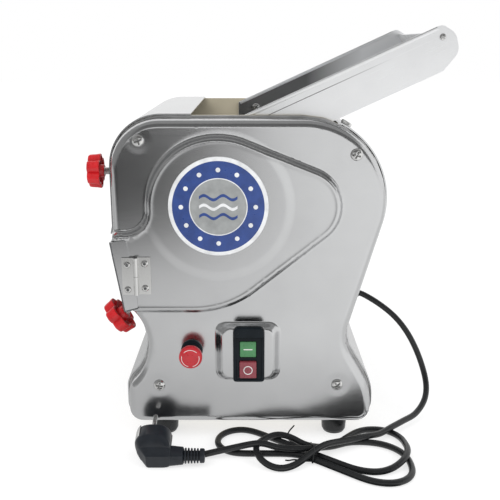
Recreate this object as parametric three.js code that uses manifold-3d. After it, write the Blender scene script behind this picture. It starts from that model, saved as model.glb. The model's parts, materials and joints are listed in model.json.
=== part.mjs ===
// Bench-top electric dough sheeter and noodle cutter, 240 mm rollers.
// Millimetres, +Z up. The outlet side faces -X, the feed tray rises towards +X,
// and the control side with its gear cover faces -Y.
import * as THREE from 'three';
import { mergeVertices } from 'three/addons/utils/BufferGeometryUtils.js';
import Module from 'manifold-3d';

const wasm = await Module();
wasm.setup();

// ---------------------------------------------------------------- driving dimensions

const SHEET = 1.5;            // stainless sheet thickness
const GAP = 0.3;              // clearance between touching pieces
const COVER_FACE = 151;       // flat face of each side cover, from the mid-plane
const COVER_RIM = 129.3;      // open rim of each side cover
const SHELL_HALF = 129;       // half width of the wrapped shells
const SHELL_PROUD = 4;        // how far the shells stand outside the cover outline
const PLATE_OUT = 128.5;      // outer and inner faces of the side plates
const PLATE_IN = 123.5;
const EDGE_ROUND = 8;         // rounding of the cover's front edge
const BULGE_RISE = 6;         // how far the gear bulge stands out of the cover
const BULGE_FACE = -COVER_FACE - BULGE_RISE;
const BOSS_FACE = -COVER_FACE - 8;   // flat top of the switch boss
const BODY_BOTTOM = 22;       // underside of the body above the bench

// side outline of the covers: x, z, corner radius, anticlockwise from the lower front
const SILHOUETTE = [
  [-148, BODY_BOTTOM, 14.5],
  [111.5, BODY_BOTTOM, 15],
  [111.5, 59, 60],
  [79.7, 114.3, 45],
  [146, 346, 84],
  [-157, 346, 50],
  [-157, 226, 20],
  [-139.5, 148, 9],
  [-107.1, 106.9, 57],
  [-148, 63.7, 22],
];

// raised gear bulge on the control side, anticlockwise; it runs off the front edge
const BULGE = [
  [-180, 150, 0],
  [-39.3, 150, 105],
  [117.7, 272.3, 42.3],
  [-34.6, 333, 73],
  [-124.5, 333, 73],
  [-124.5, 236.5, 20],
  [-180, 236.5, 0],
];

// gear train: centres in x, z
const DRIVE_MODULE = 3;
const DRIVE_TEETH = 40;
const PINION_TEETH = 16;
const CUTTER_TEETH = 12;
const ROLLER_TEETH = 16;
const ROLLER_RADIUS = 25;
const ROLLER_HALF = 118;
const ROLLER_GAP = 2;         // opening between the rollers at rest
const JOURNAL = 10;
const SHAFT = 8;
const REAR_ROLLER = new THREE.Vector2(-49.3, 261);
const FRONT_RISE = 30.9;      // the front roller sits higher than the rear one
const FRONT_ROLLER = new THREE.Vector2(
  REAR_ROLLER.x - Math.sqrt((2 * ROLLER_RADIUS + ROLLER_GAP) ** 2 - FRONT_RISE ** 2),
  REAR_ROLLER.y + FRONT_RISE);
const COUNTERSHAFT = new THREE.Vector2(
  REAR_ROLLER.x + DRIVE_MODULE * (DRIVE_TEETH + PINION_TEETH) / 2, REAR_ROLLER.y);
const UPPER_CUTTER = REAR_ROLLER.clone().add(
  polar(DRIVE_MODULE * (DRIVE_TEETH + CUTTER_TEETH) / 2, 222.7));
const LOWER_CUTTER = UPPER_CUTTER.clone().add(polar(DRIVE_MODULE * CUTTER_TEETH, -52));
const GEAR_Y = -146;          // middle of the control-side gear train
const GEAR_WIDTH = 12;
const FAR_GEAR_Y = 137;       // middle of the roller gears on the far side
const MOTOR = new THREE.Vector2(-15, 92);
const MOTOR_PULLEY_RADIUS = 16;
const PULLEY_RADIUS = 42;
const BELT_THICK = 3;
const GAP_TRAVEL = 5;         // travel of the front roller's bearing blocks
const CUTTER_RADIUS = 19.3;
const CUTTER_CORE = 16.3;
const CUTTER_PITCH = 22;
const CUTTER_DISC = 10.2;

// hopper, tray and door
const OPENING_FRONT = -77;
const OPENING_REAR = 70;
const TRAY_HALF = 121.5;
const TRAY_PIVOT = new THREE.Vector2(-10.1, 337.1);
const TRAY_SIDE = [           // side wall of the tray, anticlockwise
  [-33, 296.5, 0],
  [173.5, 390.9, 4],
  [187.5, 409.5, 12],
  [170, 435, 9],
  [-33, 343.5, 1],
];
const DOOR_TOP = new THREE.Vector2(-159.2, 224.6);
const DOOR_FOOT = new THREE.Vector2(-146.9, 151.5);
const DOOR_PANEL_FOOT = 166;  // the front panel stops above the clamp knobs
const DOOR_FAR = 150;
const HINGE_X = -133.2;
const HINGE_Y = BULGE_FACE - 4.4;
const HINGE_LOW = 170.5;
const HINGE_HIGH = 209.5;
const KNUCKLE = 2.4;
const LEAF = 1.2;

// knobs, screws and controls
const STUD = 4;               // M8 studs
const KNOB_RADIUS = 17;
const KNOB_THICK = 13;
const UPPER_KNOB_Y = 124.3;
const LOWER_KNOB_Y = 111;
const LOWER_STUD_FOOT = new THREE.Vector2(-141.9, 144.6);
const LOWER_STUD_OUT = new THREE.Vector2(-0.785, -0.619);
const COVER_SCREWS = [[-127.5, 325.9], [86.8, 312], [74.6, 66.9], [-114.4, 66.3]];
const SCREW = 2.5;
const ESTOP = new THREE.Vector2(-79, 106.5);
const SWITCH = { x0: -35.5, x1: -3, z0: 76.5, z1: 134 };
const FEET_X = [-111.6, 75.5];
const FOOT_Y = 123;
const FOOT_RADIUS = 14;

// mains lead
const CORD = 3.4;             // radius
const GLAND_ROOT = new THREE.Vector3(90.8, -40, 138.5);
const GLAND_AXIS = new THREE.Vector3(0.9614, 0, -0.2751);
const GLAND_LENGTH = 21;
const BUNDLE_HEIGHT = 18;
const PLUG_FACE = new THREE.Vector3(-118, -177, 21.9);
const PLUG_TILT = 16;         // degrees, pins raised
const PLUG_RADIUS = 18.5;
const PLUG_DEPTH = 34;
const PLUG_RELIEF_END = 54;   // end of the plug's strain relief from its axis

// ---------------------------------------------------------------- materials

function finish(color, roughness, metalness = 0) {
  return new THREE.MeshStandardMaterial({ color, roughness, metalness });
}

const STAINLESS = finish(0xb9bbbd, 0.3, 1);
const INNER_STEEL = finish(0x9a9488, 0.5, 0.6);
const MACHINED = finish(0xa8a9aa, 0.35, 1);
const ZINC = finish(0xc4c4c2, 0.3, 1);
const BRASS = finish(0xb99a55, 0.35, 1);
const CAST = finish(0x5a5d60, 0.6, 0.8);
const RED = finish(0xc01822, 0.25);
const RED_BUTTON = finish(0x9c3038, 0.35);
const GREEN_BUTTON = finish(0x4c9454, 0.35);
const BLACK_PLASTIC = finish(0x17191b, 0.35);
const RUBBER = finish(0x1c1d1e, 0.7);

// ---------------------------------------------------------------- outlines in x, z

function polar(radius, degrees) {
  const angle = THREE.MathUtils.degToRad(degrees);
  return new THREE.Vector2(radius * Math.cos(angle), radius * Math.sin(angle));
}

// Moves every edge of a path sideways to its right (outwards when anticlockwise).
function offsetPath(path, distance, closed = true) {
  const count = path.length;
  const point = (i) => new THREE.Vector2(path[i][0], path[i][1]);
  const edge = (i) => {
    const start = point(i);
    const along = point((i + 1) % count).sub(start).normalize();
    const side = new THREE.Vector2(along.y, -along.x);
    return { start: start.addScaledVector(side, distance), along, side };
  };
  return path.map(([, , radius], i) => {
    if (!closed && i === 0) {
      const { start } = edge(0);
      return [start.x, start.y, 0];
    }
    const before = edge((i + count - 1) % count);
    if (!closed && i === count - 1) {
      const end = point(i).addScaledVector(before.side, distance);
      return [end.x, end.y, 0];
    }
    const after = edge(i);
    const turn = before.along.cross(after.along);
    const reach = after.start.clone().sub(before.start).cross(after.along) / turn;
    const corner = before.start.addScaledVector(before.along, reach);
    const rounding = radius ? Math.max(0.2, radius + Math.sign(turn) * distance) : 0;
    return [corner.x, corner.y, rounding];
  });
}

// Turns x, z, radius corners into points, with each corner as an arc.
function roundedPoints(path, closed = true, arcStep = 17) {
  const count = path.length;
  const points = [];
  path.forEach(([x, y, radius], i) => {
    const corner = new THREE.Vector2(x, y);
    const isEnd = !closed && (i === 0 || i === count - 1);
    if (!radius || isEnd) {
      points.push(corner);
      return;
    }
    const [bx, by] = path[(i + count - 1) % count];
    const [ax, ay] = path[(i + 1) % count];
    const before = corner.clone().sub(new THREE.Vector2(bx, by)).normalize();
    const after = new THREE.Vector2(ax, ay).sub(corner).normalize();
    const turn = Math.atan2(before.cross(after), before.dot(after));
    const reach = radius * Math.tan(Math.abs(turn) / 2);
    const start = corner.clone().addScaledVector(before, -reach);
    const side = new THREE.Vector2(-before.y, before.x).multiplyScalar(Math.sign(turn) * radius);
    const centre = start.clone().add(side);
    const steps = Math.max(1, Math.ceil(Math.abs(turn) / THREE.MathUtils.degToRad(arcStep)));
    for (let k = 0; k <= steps; k++) {
      points.push(start.clone().rotateAround(centre, turn * k / steps));
    }
  });
  return points;
}

// A sheet that follows an open path, its outer face on the path.
function bandPoints(path, thickness = SHEET) {
  const outer = roundedPoints(path, false);
  const inner = roundedPoints(offsetPath(path, -thickness, false), false);
  return [...outer, ...inner.reverse()];
}

function boxPoints(x0, z0, x1, z1, radius = 0) {
  return roundedPoints([[x0, z0, radius], [x1, z0, radius], [x1, z1, radius], [x0, z1, radius]]);
}

// ---------------------------------------------------------------- solids

function signedVolume(geometry) {
  const { array } = geometry.attributes.position;
  const index = geometry.index.array;
  const at = (i) => new THREE.Vector3().fromArray(array, 3 * index[i]);
  let sum = 0;
  for (let i = 0; i < index.length; i += 3) sum += at(i).dot(at(i + 1).cross(at(i + 2)));
  return sum;
}

// Welds the vertices and makes the faces point outwards.
function welded(geometry) {
  const bare = geometry.clone();
  bare.deleteAttribute('normal');
  bare.deleteAttribute('uv');
  const merged = mergeVertices(bare, 1e-3);
  if (signedVolume(merged) < 0) merged.index.array.reverse();
  return merged;
}

function solid(geometry) {
  const merged = welded(geometry);
  return new wasm.Manifold(new wasm.Mesh({
    numProp: 3,
    vertProperties: new Float32Array(merged.attributes.position.array),
    triVerts: new Uint32Array(merged.index.array),
  }));
}

function geometryOf(manifold) {
  const mesh = manifold.getMesh();
  const geometry = new THREE.BufferGeometry();
  geometry.setAttribute('position', new THREE.BufferAttribute(mesh.vertProperties, 3));
  geometry.setIndex(new THREE.BufferAttribute(mesh.triVerts, 1));
  return geometry;
}

function join(first, ...others) {
  return geometryOf(others.reduce((sum, next) => sum.add(solid(next)), solid(first)));
}

function cut(first, ...others) {
  return geometryOf(others.reduce((sum, next) => sum.subtract(solid(next)), solid(first)));
}

function common(first, second) {
  return geometryOf(solid(first).intersect(solid(second)));
}

// Skins a stack of x, z outlines that all have the same number of points.
function loft(sections) {
  const count = sections[0].points.length;
  const positions = sections.flatMap(({ y, points }) => points.flatMap((p) => [p.x, y, p.y]));
  const index = [];
  for (let level = 0; level + 1 < sections.length; level++) {
    for (let i = 0; i < count; i++) {
      const a = level * count + i;
      const b = level * count + (i + 1) % count;
      index.push(a, b, b + count, a, b + count, a + count);
    }
  }
  const cap = THREE.ShapeUtils.triangulateShape(sections[0].points, []);
  const last = (sections.length - 1) * count;
  cap.forEach(([a, b, c]) => {
    index.push(c, b, a);
    index.push(last + a, last + b, last + c);
  });
  const geometry = new THREE.BufferGeometry();
  geometry.setAttribute('position', new THREE.Float32BufferAttribute(positions, 3));
  geometry.setIndex(index);
  return welded(geometry);
}

function slab(points, y0, y1) {
  return loft([{ y: y0, points }, { y: y1, points }]);
}

// A stack of one outline: each level is a y and a sideways offset of the outline.
function stack(path, levels) {
  return loft(levels.map(([y, offset]) => ({ y, points: roundedPoints(offsetPath(path, offset)) })));
}

function box(x0, x1, y0, y1, z0, z1) {
  const geometry = new THREE.BoxGeometry(x1 - x0, y1 - y0, z1 - z0);
  return geometry.translate((x0 + x1) / 2, (y0 + y1) / 2, (z0 + z1) / 2);
}

// A round bar along Y through the point x, z.
function rod(centre, radius, y0, y1, sides = 20) {
  const geometry = new THREE.CylinderGeometry(radius, radius, y1 - y0, sides);
  return geometry.translate(centre.x, (y0 + y1) / 2, centre.y);
}

// A turned piece about Y from radius, y pairs.
function turned(centre, profile, sides = 20) {
  const points = profile.map(([radius, y]) => new THREE.Vector2(radius, y));
  return welded(new THREE.LatheGeometry(points, sides).translate(centre.x, 0, centre.y));
}

// Points +Y of a piece along a direction and carries its origin to a place.
function aimed(geometry, place, direction) {
  const turn = new THREE.Quaternion().setFromUnitVectors(
    new THREE.Vector3(0, 1, 0), direction.clone().normalize());
  return geometry.applyQuaternion(turn).translate(place.x, place.y, place.z);
}

function tube(points, radius, stepsPerPoint = 3, sides = 8) {
  const curve = new THREE.CatmullRomCurve3(points.map((p) => new THREE.Vector3(...p)));
  const section = new THREE.Shape();
  for (let i = 0; i < sides; i++) {
    const { x, y } = polar(radius, (i + 0.5) * 360 / sides);
    if (i) section.lineTo(x, y);
    else section.moveTo(x, y);
  }
  return welded(new THREE.ExtrudeGeometry(section, {
    steps: stepsPerPoint * (points.length - 1), extrudePath: curve,
  }));
}

// ---------------------------------------------------------------- gears and star knobs

function gear(centre, teeth, module, phase, y, width, bore, fullness = 1) {
  const pitchAngle = 2 * Math.PI / teeth;
  const pitchRadius = module * teeth / 2;
  const tip = pitchRadius + 0.85 * module;
  const root = pitchRadius - 1.15 * module;
  const points = [];
  for (let i = 0; i < teeth; i++) {
    const middle = phase + i * pitchAngle;
    for (const [radius, share] of [[root, -0.31], [tip, -0.11], [tip, 0.11], [root, 0.31]]) {
      const angle = middle + share * fullness * pitchAngle;
      points.push(new THREE.Vector2(radius * Math.cos(angle), radius * Math.sin(angle)).add(centre));
    }
  }
  const blank = slab(points, y - width / 2, y + width / 2);
  return bore ? cut(blank, rod(centre, bore, y - width, y + width)) : blank;
}

// Phase of a gear whose gaps face the teeth of the gear it meshes with.
function meshPhase(from, fromTeeth, fromPhase, to, toTeeth) {
  const direction = to.clone().sub(from).angle();
  return direction + Math.PI - (fromPhase - direction) * fromTeeth / toTeeth - Math.PI / toTeeth;
}

// A six-lobed knob about Y with its bore for a stud; its face is at y = 0.
function starKnob() {
  const lobes = 6;
  const pointsPerLobe = 4;
  const count = lobes * pointsPerLobe;
  const star = (scale) => Array.from({ length: count }, (unused, i) => {
    const angle = 360 * i / count;
    const wave = Math.cos(THREE.MathUtils.degToRad(lobes * angle));
    return polar(scale * (KNOB_RADIUS - 2.4 + 2.4 * wave), angle);
  });
  const head = loft([
    { y: 0, points: star(0.86) },
    { y: 2.5, points: star(1) },
    { y: KNOB_THICK - 1.5, points: star(1) },
    { y: KNOB_THICK, points: star(0.92) },
  ]);
  const origin = new THREE.Vector2();
  const hub = rod(origin, 8, KNOB_THICK - 1, KNOB_THICK + 4, 16);
  return cut(join(head, hub), rod(origin, STUD + GAP, 5, KNOB_THICK + 10, 16));
}

// ---------------------------------------------------------------- assembly

const group = new THREE.Group();

function piece(name, geometry, material, parent = group) {
  const mesh = new THREE.Mesh(geometry, material);
  mesh.name = name;
  parent.add(mesh);
  return mesh;
}

// -- side covers

function panShell(sign) {
  const outer = stack(SILHOUETTE, [
    [sign * COVER_RIM, 0],
    [sign * (COVER_FACE - EDGE_ROUND), 0],
    [sign * (COVER_FACE - EDGE_ROUND / 2), -1.1],
    [sign * (COVER_FACE - 1.1), -EDGE_ROUND / 2],
    [sign * COVER_FACE, -EDGE_ROUND],
  ]);
  const inner = stack(SILHOUETTE, [
    [sign * (COVER_RIM - 5), -SHEET],
    [sign * (COVER_FACE - EDGE_ROUND), -SHEET],
    [sign * (COVER_FACE - 1.1 - SHEET), -EDGE_ROUND / 2 - SHEET],
    [sign * (COVER_FACE - SHEET), -EDGE_ROUND - SHEET],
  ]);
  return { outer, inner };
}

// The raised gear bulge as a plug of the outline, moved inwards by `inset`.
function bulgePlug(inset, back) {
  const face = BULGE_FACE + inset;
  const hill = stack(BULGE, [
    [back, -inset],
    [-COVER_FACE + inset, -inset],
    [face, -4 - inset],
  ]);
  const rim = stack(SILHOUETTE, [
    [back, -inset],
    [face + 4, -inset],
    [face, -3 - inset],
  ]);
  return common(hill, rim);
}

// The raised boss under the switch.
function bossPlug(inset, back) {
  const foot = boxPoints(-55 + inset, 72.7 + inset, 14.5 - inset, 138.2 - inset, 12 - inset);
  const top = boxPoints(-46 + inset, 79.2 + inset, 5 - inset, 131.9 - inset, 8 - inset);
  return loft([
    { y: back, points: foot },
    { y: -COVER_FACE + inset, points: foot },
    { y: BOSS_FACE + inset, points: top },
  ]);
}

function nearSideCover() {
  const { outer, inner } = panShell(-1);
  const back = -COVER_FACE + EDGE_ROUND;
  const skin = join(outer, bulgePlug(0, back), bossPlug(0, back));
  const hollow = join(inner, bulgePlug(SHEET, back), bossPlug(SHEET, back));
  const { x0, x1, z0, z1 } = SWITCH;
  return cut(skin, hollow,
    ...COVER_SCREWS.map(([x, z]) => rod(new THREE.Vector2(x, z), SCREW + 0.4, -160, -140, 12)),
    rod(ESTOP, 8.3, -160, -140, 16),
    box(x0 + 2.5, x1 - 2.5, -170, -140, z0 + 5.1, z1 - 5.1));
}

piece('near_side_cover', nearSideCover(), STAINLESS);
const farPan = panShell(1);
piece('far_side_cover', cut(farPan.outer, farPan.inner), STAINLESS);

COVER_SCREWS.forEach(([x, z], i) => {
  const face = -COVER_FACE - GAP;
  piece(`cover_screw_${i + 1}`, turned(new THREE.Vector2(x, z), [
    [0, -121.5], [SCREW, -121.5], [SCREW, face], [6.2, face], [6.2, face - 1.2],
    [4.4, face - 2.7], [0, face - 3],
  ], 16), ZINC);
});

// -- wrapped shells between the covers

const SHELL = offsetPath(SILHOUETTE, SHELL_PROUD);
const [shellLowFront, shellLowBack, shellBackHip, shellBackWaist, shellBackTop,
  shellFrontTop, , , shellFrontWaist, shellFrontHip] = SHELL;
const belowBody = box(-300, 300, -200, 200, -50, BODY_BOTTOM);
const shellTop = SILHOUETTE[4][1] + SHELL_PROUD;

const hoodFoot = 229;
const hoodPath = [[OPENING_FRONT, shellTop, 0], shellFrontTop, [shellFrontTop[0], hoodFoot, 0]];
const studHoles = [-1, 1].map((side) => aimed(
  new THREE.CylinderGeometry(STUD + 0.6, STUD + 0.6, 30, 16),
  new THREE.Vector3(shellFrontTop[0], side * UPPER_KNOB_Y, FRONT_ROLLER.y),
  new THREE.Vector3(1, 0, 0)));
piece('front_hood', cut(slab(bandPoints(hoodPath), -SHELL_HALF, SHELL_HALF), ...studHoles),
  STAINLESS);

const rearPath = [
  [shellLowBack[0] - 30, shellLowBack[1], 0], shellLowBack, shellBackHip, shellBackWaist,
  shellBackTop, [20, shellTop, 0],
];
const glandHole = aimed(new THREE.CylinderGeometry(7, 7, 20, 16), GLAND_ROOT, GLAND_AXIS);
piece('rear_shell', cut(slab(bandPoints(rearPath), -SHELL_HALF, SHELL_HALF),
  box(-50, OPENING_REAR, -200, 200, 300, 400), belowBody, glandHole), STAINLESS);

// the waist panel's ears carry the clamp knobs; the outlet is between them
const EAR_INNER = 98;
const earUp = new THREE.Vector2(LOWER_STUD_OUT.y, -LOWER_STUD_OUT.x);
const earTip = LOWER_STUD_FOOT.clone().addScaledVector(earUp, 9.5);
const waistPath = [
  [earTip.x, earTip.y, 0], shellFrontWaist, shellFrontHip, shellLowFront,
  [shellLowFront[0] + 30, shellLowFront[1], 0],
];
const clampAxis = new THREE.Vector3(LOWER_STUD_OUT.x, 0, LOWER_STUD_OUT.y);
const clampFoot = (side) => new THREE.Vector3(
  LOWER_STUD_FOOT.x, side * LOWER_KNOB_Y, LOWER_STUD_FOOT.y);
const clampHoles = [-1, 1].map((side) => aimed(
  new THREE.CylinderGeometry(STUD + 0.6, STUD + 0.6, 20, 16), clampFoot(side), clampAxis));
piece('waist_panel', cut(slab(bandPoints(waistPath), -SHELL_HALF, SHELL_HALF), belowBody,
  box(-200, -100, -EAR_INNER, EAR_INNER, 141.5, 200), ...clampHoles), STAINLESS);

piece('base_plate', box(-142, 105, -PLATE_OUT, PLATE_OUT, BODY_BOTTOM, BODY_BOTTOM + 2),
  INNER_STEEL);

// -- side plates with their bores

const BLOCK = { front: 24, rear: 13, half: 15, inner: 118.6, outer: 130 };

function sidePlate(side, extraCuts) {
  const outline = roundedPoints(offsetPath(SILHOUETTE, SHELL_PROUD - SHEET - GAP));
  const [y0, y1] = [side * PLATE_IN, side * PLATE_OUT].sort((a, b) => a - b);
  const bore = (centre, radius, sides) => rod(centre, radius, y0 - 5, y1 + 5, sides);
  const doorRoom = [
    [-190, 147, 0], [DOOR_FOOT.x + 4, 147, 0], [DOOR_TOP.x + 4, 231, 0], [-190, 231, 0],
  ];
  const slotEnd = FRONT_ROLLER.x - BLOCK.front - GAP_TRAVEL - GAP;
  return cut(slab(outline, y0, y1),
    box(-300, 300, y0 - 5, y1 + 5, -50, BODY_BOTTOM + 2 + GAP),
    slab(roundedPoints(doorRoom), y0 - 5, y1 + 5),
    bore(REAR_ROLLER, 13 + GAP),
    bore(COUNTERSHAFT, SHAFT + GAP),
    bore(UPPER_CUTTER, 7 + GAP, 16),
    bore(LOWER_CUTTER, 7 + GAP, 16),
    bore(TRAY_PIVOT, 3 + GAP, 12),
    box(slotEnd, FRONT_ROLLER.x + BLOCK.rear + GAP, y0 - 5, y1 + 5,
      FRONT_ROLLER.y - BLOCK.half - GAP, FRONT_ROLLER.y + BLOCK.half + GAP),
    box(-190, slotEnd + 1, y0 - 5, y1 + 5, FRONT_ROLLER.y - 5, FRONT_ROLLER.y + 5),
    ...extraCuts);
}

const screwHoles = COVER_SCREWS.map(([x, z]) =>
  rod(new THREE.Vector2(x, z), SCREW + GAP, -PLATE_OUT - 5, -PLATE_IN + 5, 12));
const switchHole = box(SWITCH.x0 + 2, SWITCH.x1 - 2, -PLATE_OUT - 5, -PLATE_IN + 5,
  SWITCH.z0 + 4.6, SWITCH.z1 - 4.6);
const estopHole = rod(ESTOP, 9, -PLATE_OUT - 5, -PLATE_IN + 5);
const motorHole = rod(MOTOR, 10, PLATE_IN - 5, PLATE_OUT + 5);
piece('near_side_plate', sidePlate(-1, [...screwHoles, switchHole, estopHole]), INNER_STEEL);
piece('far_side_plate', sidePlate(1, [motorHole]), INNER_STEEL);

// -- rollers, their bearings and gears

const rollerProfile = (reach) => [
  [0, -reach], [SHAFT, -reach], [SHAFT, -131], [JOURNAL, -131], [JOURNAL, -ROLLER_HALF],
  [ROLLER_RADIUS, -ROLLER_HALF], [ROLLER_RADIUS, ROLLER_HALF], [JOURNAL, ROLLER_HALF],
  [JOURNAL, 131], [SHAFT, 131], [SHAFT, 144], [0, 144],
];
piece('rear_roller', turned(REAR_ROLLER, rollerProfile(153)), MACHINED);
piece('front_roller', turned(FRONT_ROLLER, rollerProfile(134)), MACHINED);

[['near', -1], ['far', 1]].forEach(([word, side]) => {
  const [y0, y1] = [side * 120, side * 130].sort((a, b) => a - b);
  piece(`${word}_roller_bush`, cut(rod(REAR_ROLLER, 13, y0, y1),
    rod(REAR_ROLLER, JOURNAL + GAP, y0 - 5, y1 + 5)), BRASS);

  const [b0, b1] = [side * BLOCK.inner, side * BLOCK.outer].sort((a, b) => a - b);
  const { x, y: z } = FRONT_ROLLER;
  const thread = aimed(new THREE.CylinderGeometry(STUD + GAP, STUD + GAP, 24, 16),
    new THREE.Vector3(x - BLOCK.front, side * UPPER_KNOB_Y, z), new THREE.Vector3(1, 0, 0));
  piece(`${word}_slide_block`, cut(
    box(x - BLOCK.front, x + BLOCK.rear, b0, b1, z - BLOCK.half, z + BLOCK.half),
    rod(FRONT_ROLLER, JOURNAL + GAP, b0 - 5, b1 + 5), thread), CAST);
});

const drivePhase = 0;
piece('drive_gear', gear(REAR_ROLLER, DRIVE_TEETH, DRIVE_MODULE, drivePhase, GEAR_Y,
  GEAR_WIDTH, SHAFT + GAP), CAST);

// the roller gears have slim teeth, so that they stay in mesh as the gap opens
const rollerModule = (2 * ROLLER_RADIUS + ROLLER_GAP) / ROLLER_TEETH;
const SLIM = 0.78;
piece('rear_roller_gear', gear(REAR_ROLLER, ROLLER_TEETH, rollerModule, 0, FAR_GEAR_Y, 10,
  SHAFT + GAP, SLIM), CAST);
piece('front_roller_gear', gear(FRONT_ROLLER, ROLLER_TEETH, rollerModule,
  meshPhase(REAR_ROLLER, ROLLER_TEETH, 0, FRONT_ROLLER, ROLLER_TEETH), FAR_GEAR_Y, 10,
  SHAFT + GAP, SLIM), CAST);

// -- countershaft, belt and motor

const pinion = gear(COUNTERSHAFT, PINION_TEETH, DRIVE_MODULE,
  meshPhase(REAR_ROLLER, DRIVE_TEETH, drivePhase, COUNTERSHAFT, PINION_TEETH), GEAR_Y,
  GEAR_WIDTH, 0);
piece('countershaft', join(rod(COUNTERSHAFT, SHAFT, -153, 146), pinion), MACHINED);

const BELT_Y = 139;
piece('countershaft_pulley', cut(turned(COUNTERSHAFT, [
  [0, BELT_Y - 7], [PULLEY_RADIUS + 5, BELT_Y - 7], [PULLEY_RADIUS + 5, BELT_Y - 5.5],
  [PULLEY_RADIUS, BELT_Y - 5.5], [PULLEY_RADIUS, BELT_Y + 5.5], [PULLEY_RADIUS + 5, BELT_Y + 5.5],
  [PULLEY_RADIUS + 5, BELT_Y + 7], [0, BELT_Y + 7],
], 32), rod(COUNTERSHAFT, SHAFT + GAP, 120, 160)), CAST);

const MOTOR_RADIUS = 46;
const MOTOR_END = 60;
piece('drive_motor', join(
  turned(MOTOR, [[0, -72], [30, -72], [34, -64], [MOTOR_RADIUS, -60], [MOTOR_RADIUS, 50],
    [34, 56], [20, MOTOR_END], [0, MOTOR_END]]),
  box(MOTOR.x - 34, MOTOR.x + 34, -45, 40, BODY_BOTTOM + 2 + GAP, MOTOR.y - 25)), CAST);
piece('motor_pulley', turned(MOTOR, [
  [0, MOTOR_END + GAP], [7, MOTOR_END + GAP], [7, BELT_Y - 7], [MOTOR_PULLEY_RADIUS + 4, BELT_Y - 7],
  [MOTOR_PULLEY_RADIUS + 4, BELT_Y - 5.5], [MOTOR_PULLEY_RADIUS, BELT_Y - 5.5],
  [MOTOR_PULLEY_RADIUS, BELT_Y + 5.5], [MOTOR_PULLEY_RADIUS + 4, BELT_Y + 5.5],
  [MOTOR_PULLEY_RADIUS + 4, BELT_Y + 7], [0, BELT_Y + 7],
]), MACHINED);

// Outline round both pulleys, `clear` outside their running faces.
function beltLoop(clear) {
  const line = COUNTERSHAFT.clone().sub(MOTOR);
  const big = PULLEY_RADIUS + clear;
  const small = MOTOR_PULLEY_RADIUS + clear;
  const lean = Math.acos((big - small) / line.length());
  const points = [];
  const arc = (centre, radius, from, to, steps) => {
    for (let k = 0; k <= steps; k++) {
      const angle = line.angle() + from + (to - from) * k / steps;
      points.push(new THREE.Vector2(Math.cos(angle), Math.sin(angle))
        .multiplyScalar(radius).add(centre));
    }
  };
  arc(COUNTERSHAFT, big, lean - Math.PI, Math.PI - lean, 18);
  arc(MOTOR, small, Math.PI - lean, Math.PI + lean, 10);
  return points;
}
piece('drive_belt', cut(slab(beltLoop(GAP + BELT_THICK), BELT_Y - 5, BELT_Y + 5),
  slab(beltLoop(1.2), BELT_Y - 8, BELT_Y + 8)), RUBBER);

// -- noodle cutters: discs of one run in the grooves of the other, geared at the near end

function cutter(centre, firstDisc, phase) {
  const end = 119;
  const profile = [[0, -153], [7, -153], [7, -end], [CUTTER_CORE, -end]];
  for (let y = firstDisc; y + CUTTER_DISC < end; y += CUTTER_PITCH) {
    profile.push([CUTTER_CORE, y], [CUTTER_RADIUS, y]);
    profile.push([CUTTER_RADIUS, y + CUTTER_DISC], [CUTTER_CORE, y + CUTTER_DISC]);
  }
  profile.push([CUTTER_CORE, end], [7, end], [7, 130], [0, 130]);
  const wheel = gear(centre, CUTTER_TEETH, DRIVE_MODULE, phase, GEAR_Y, GEAR_WIDTH, 0);
  return join(turned(centre, profile, 10), wheel);
}

const upperPhase = meshPhase(REAR_ROLLER, DRIVE_TEETH, drivePhase, UPPER_CUTTER, CUTTER_TEETH);
const lowerPhase = meshPhase(UPPER_CUTTER, CUTTER_TEETH, upperPhase, LOWER_CUTTER, CUTTER_TEETH);
piece('upper_cutter', cutter(UPPER_CUTTER, -115, upperPhase), MACHINED);
piece('lower_cutter', cutter(LOWER_CUTTER, -104, lowerPhase), MACHINED);

// comb bar behind the waist panel's ears, with the sheet that guides the strips out
function combBar() {
  const inward = LOWER_STUD_OUT.clone().negate();
  const corner = (depth, up) => LOWER_STUD_FOOT.clone()
    .addScaledVector(inward, depth).addScaledVector(earUp, up);
  const near = SHEET + GAP;
  const bar = [corner(near, -8), corner(near + 12, -8), corner(near + 12, 8), corner(near, 8)];
  const top = corner(near + 11, 7);
  const guide = bandPoints([[-105.5, 180.5, 0], [top.x, top.y, 0]]);
  return cut(join(slab(bar, -119, 119), slab(guide, -116, 116)),
    ...[-1, 1].map((side) => aimed(new THREE.CylinderGeometry(STUD + GAP, STUD + GAP, 60, 16),
      clampFoot(side), clampAxis)));
}
piece('comb_bar', combBar(), MACHINED);

// -- feed tray on its two pivot screws

function feedTray() {
  const side = roundedPoints(TRAY_SIDE);
  const [low, , , top] = TRAY_SIDE;
  const floorPath = [low, TRAY_SIDE[1], TRAY_SIDE[2], [top[0] + 4, top[1] - 6, 0]];
  return cut(join(
    slab(side, -TRAY_HALF, SHEET - TRAY_HALF),
    slab(side, TRAY_HALF - SHEET, TRAY_HALF),
    slab(bandPoints(floorPath), -TRAY_HALF, TRAY_HALF)),
  rod(TRAY_PIVOT, 3 + GAP, -130, 130, 12));
}
piece('feed_tray', feedTray(), STAINLESS);
[['near', -1], ['far', 1]].forEach(([word, side]) => {
  const inner = TRAY_HALF - SHEET - GAP;
  piece(`${word}_tray_pivot`, turned(TRAY_PIVOT, [
    [0, side * (inner - 3)], [4, side * (inner - 3)], [5.6, side * (inner - 1.6)],
    [5.6, side * inner], [3, side * inner], [3, side * (PLATE_OUT - 0.5)],
    [0, side * (PLATE_OUT - 0.5)],
  ], 16), ZINC);
});

// -- outlet door: front panel, side flange over the cover, and its butt hinge

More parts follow.
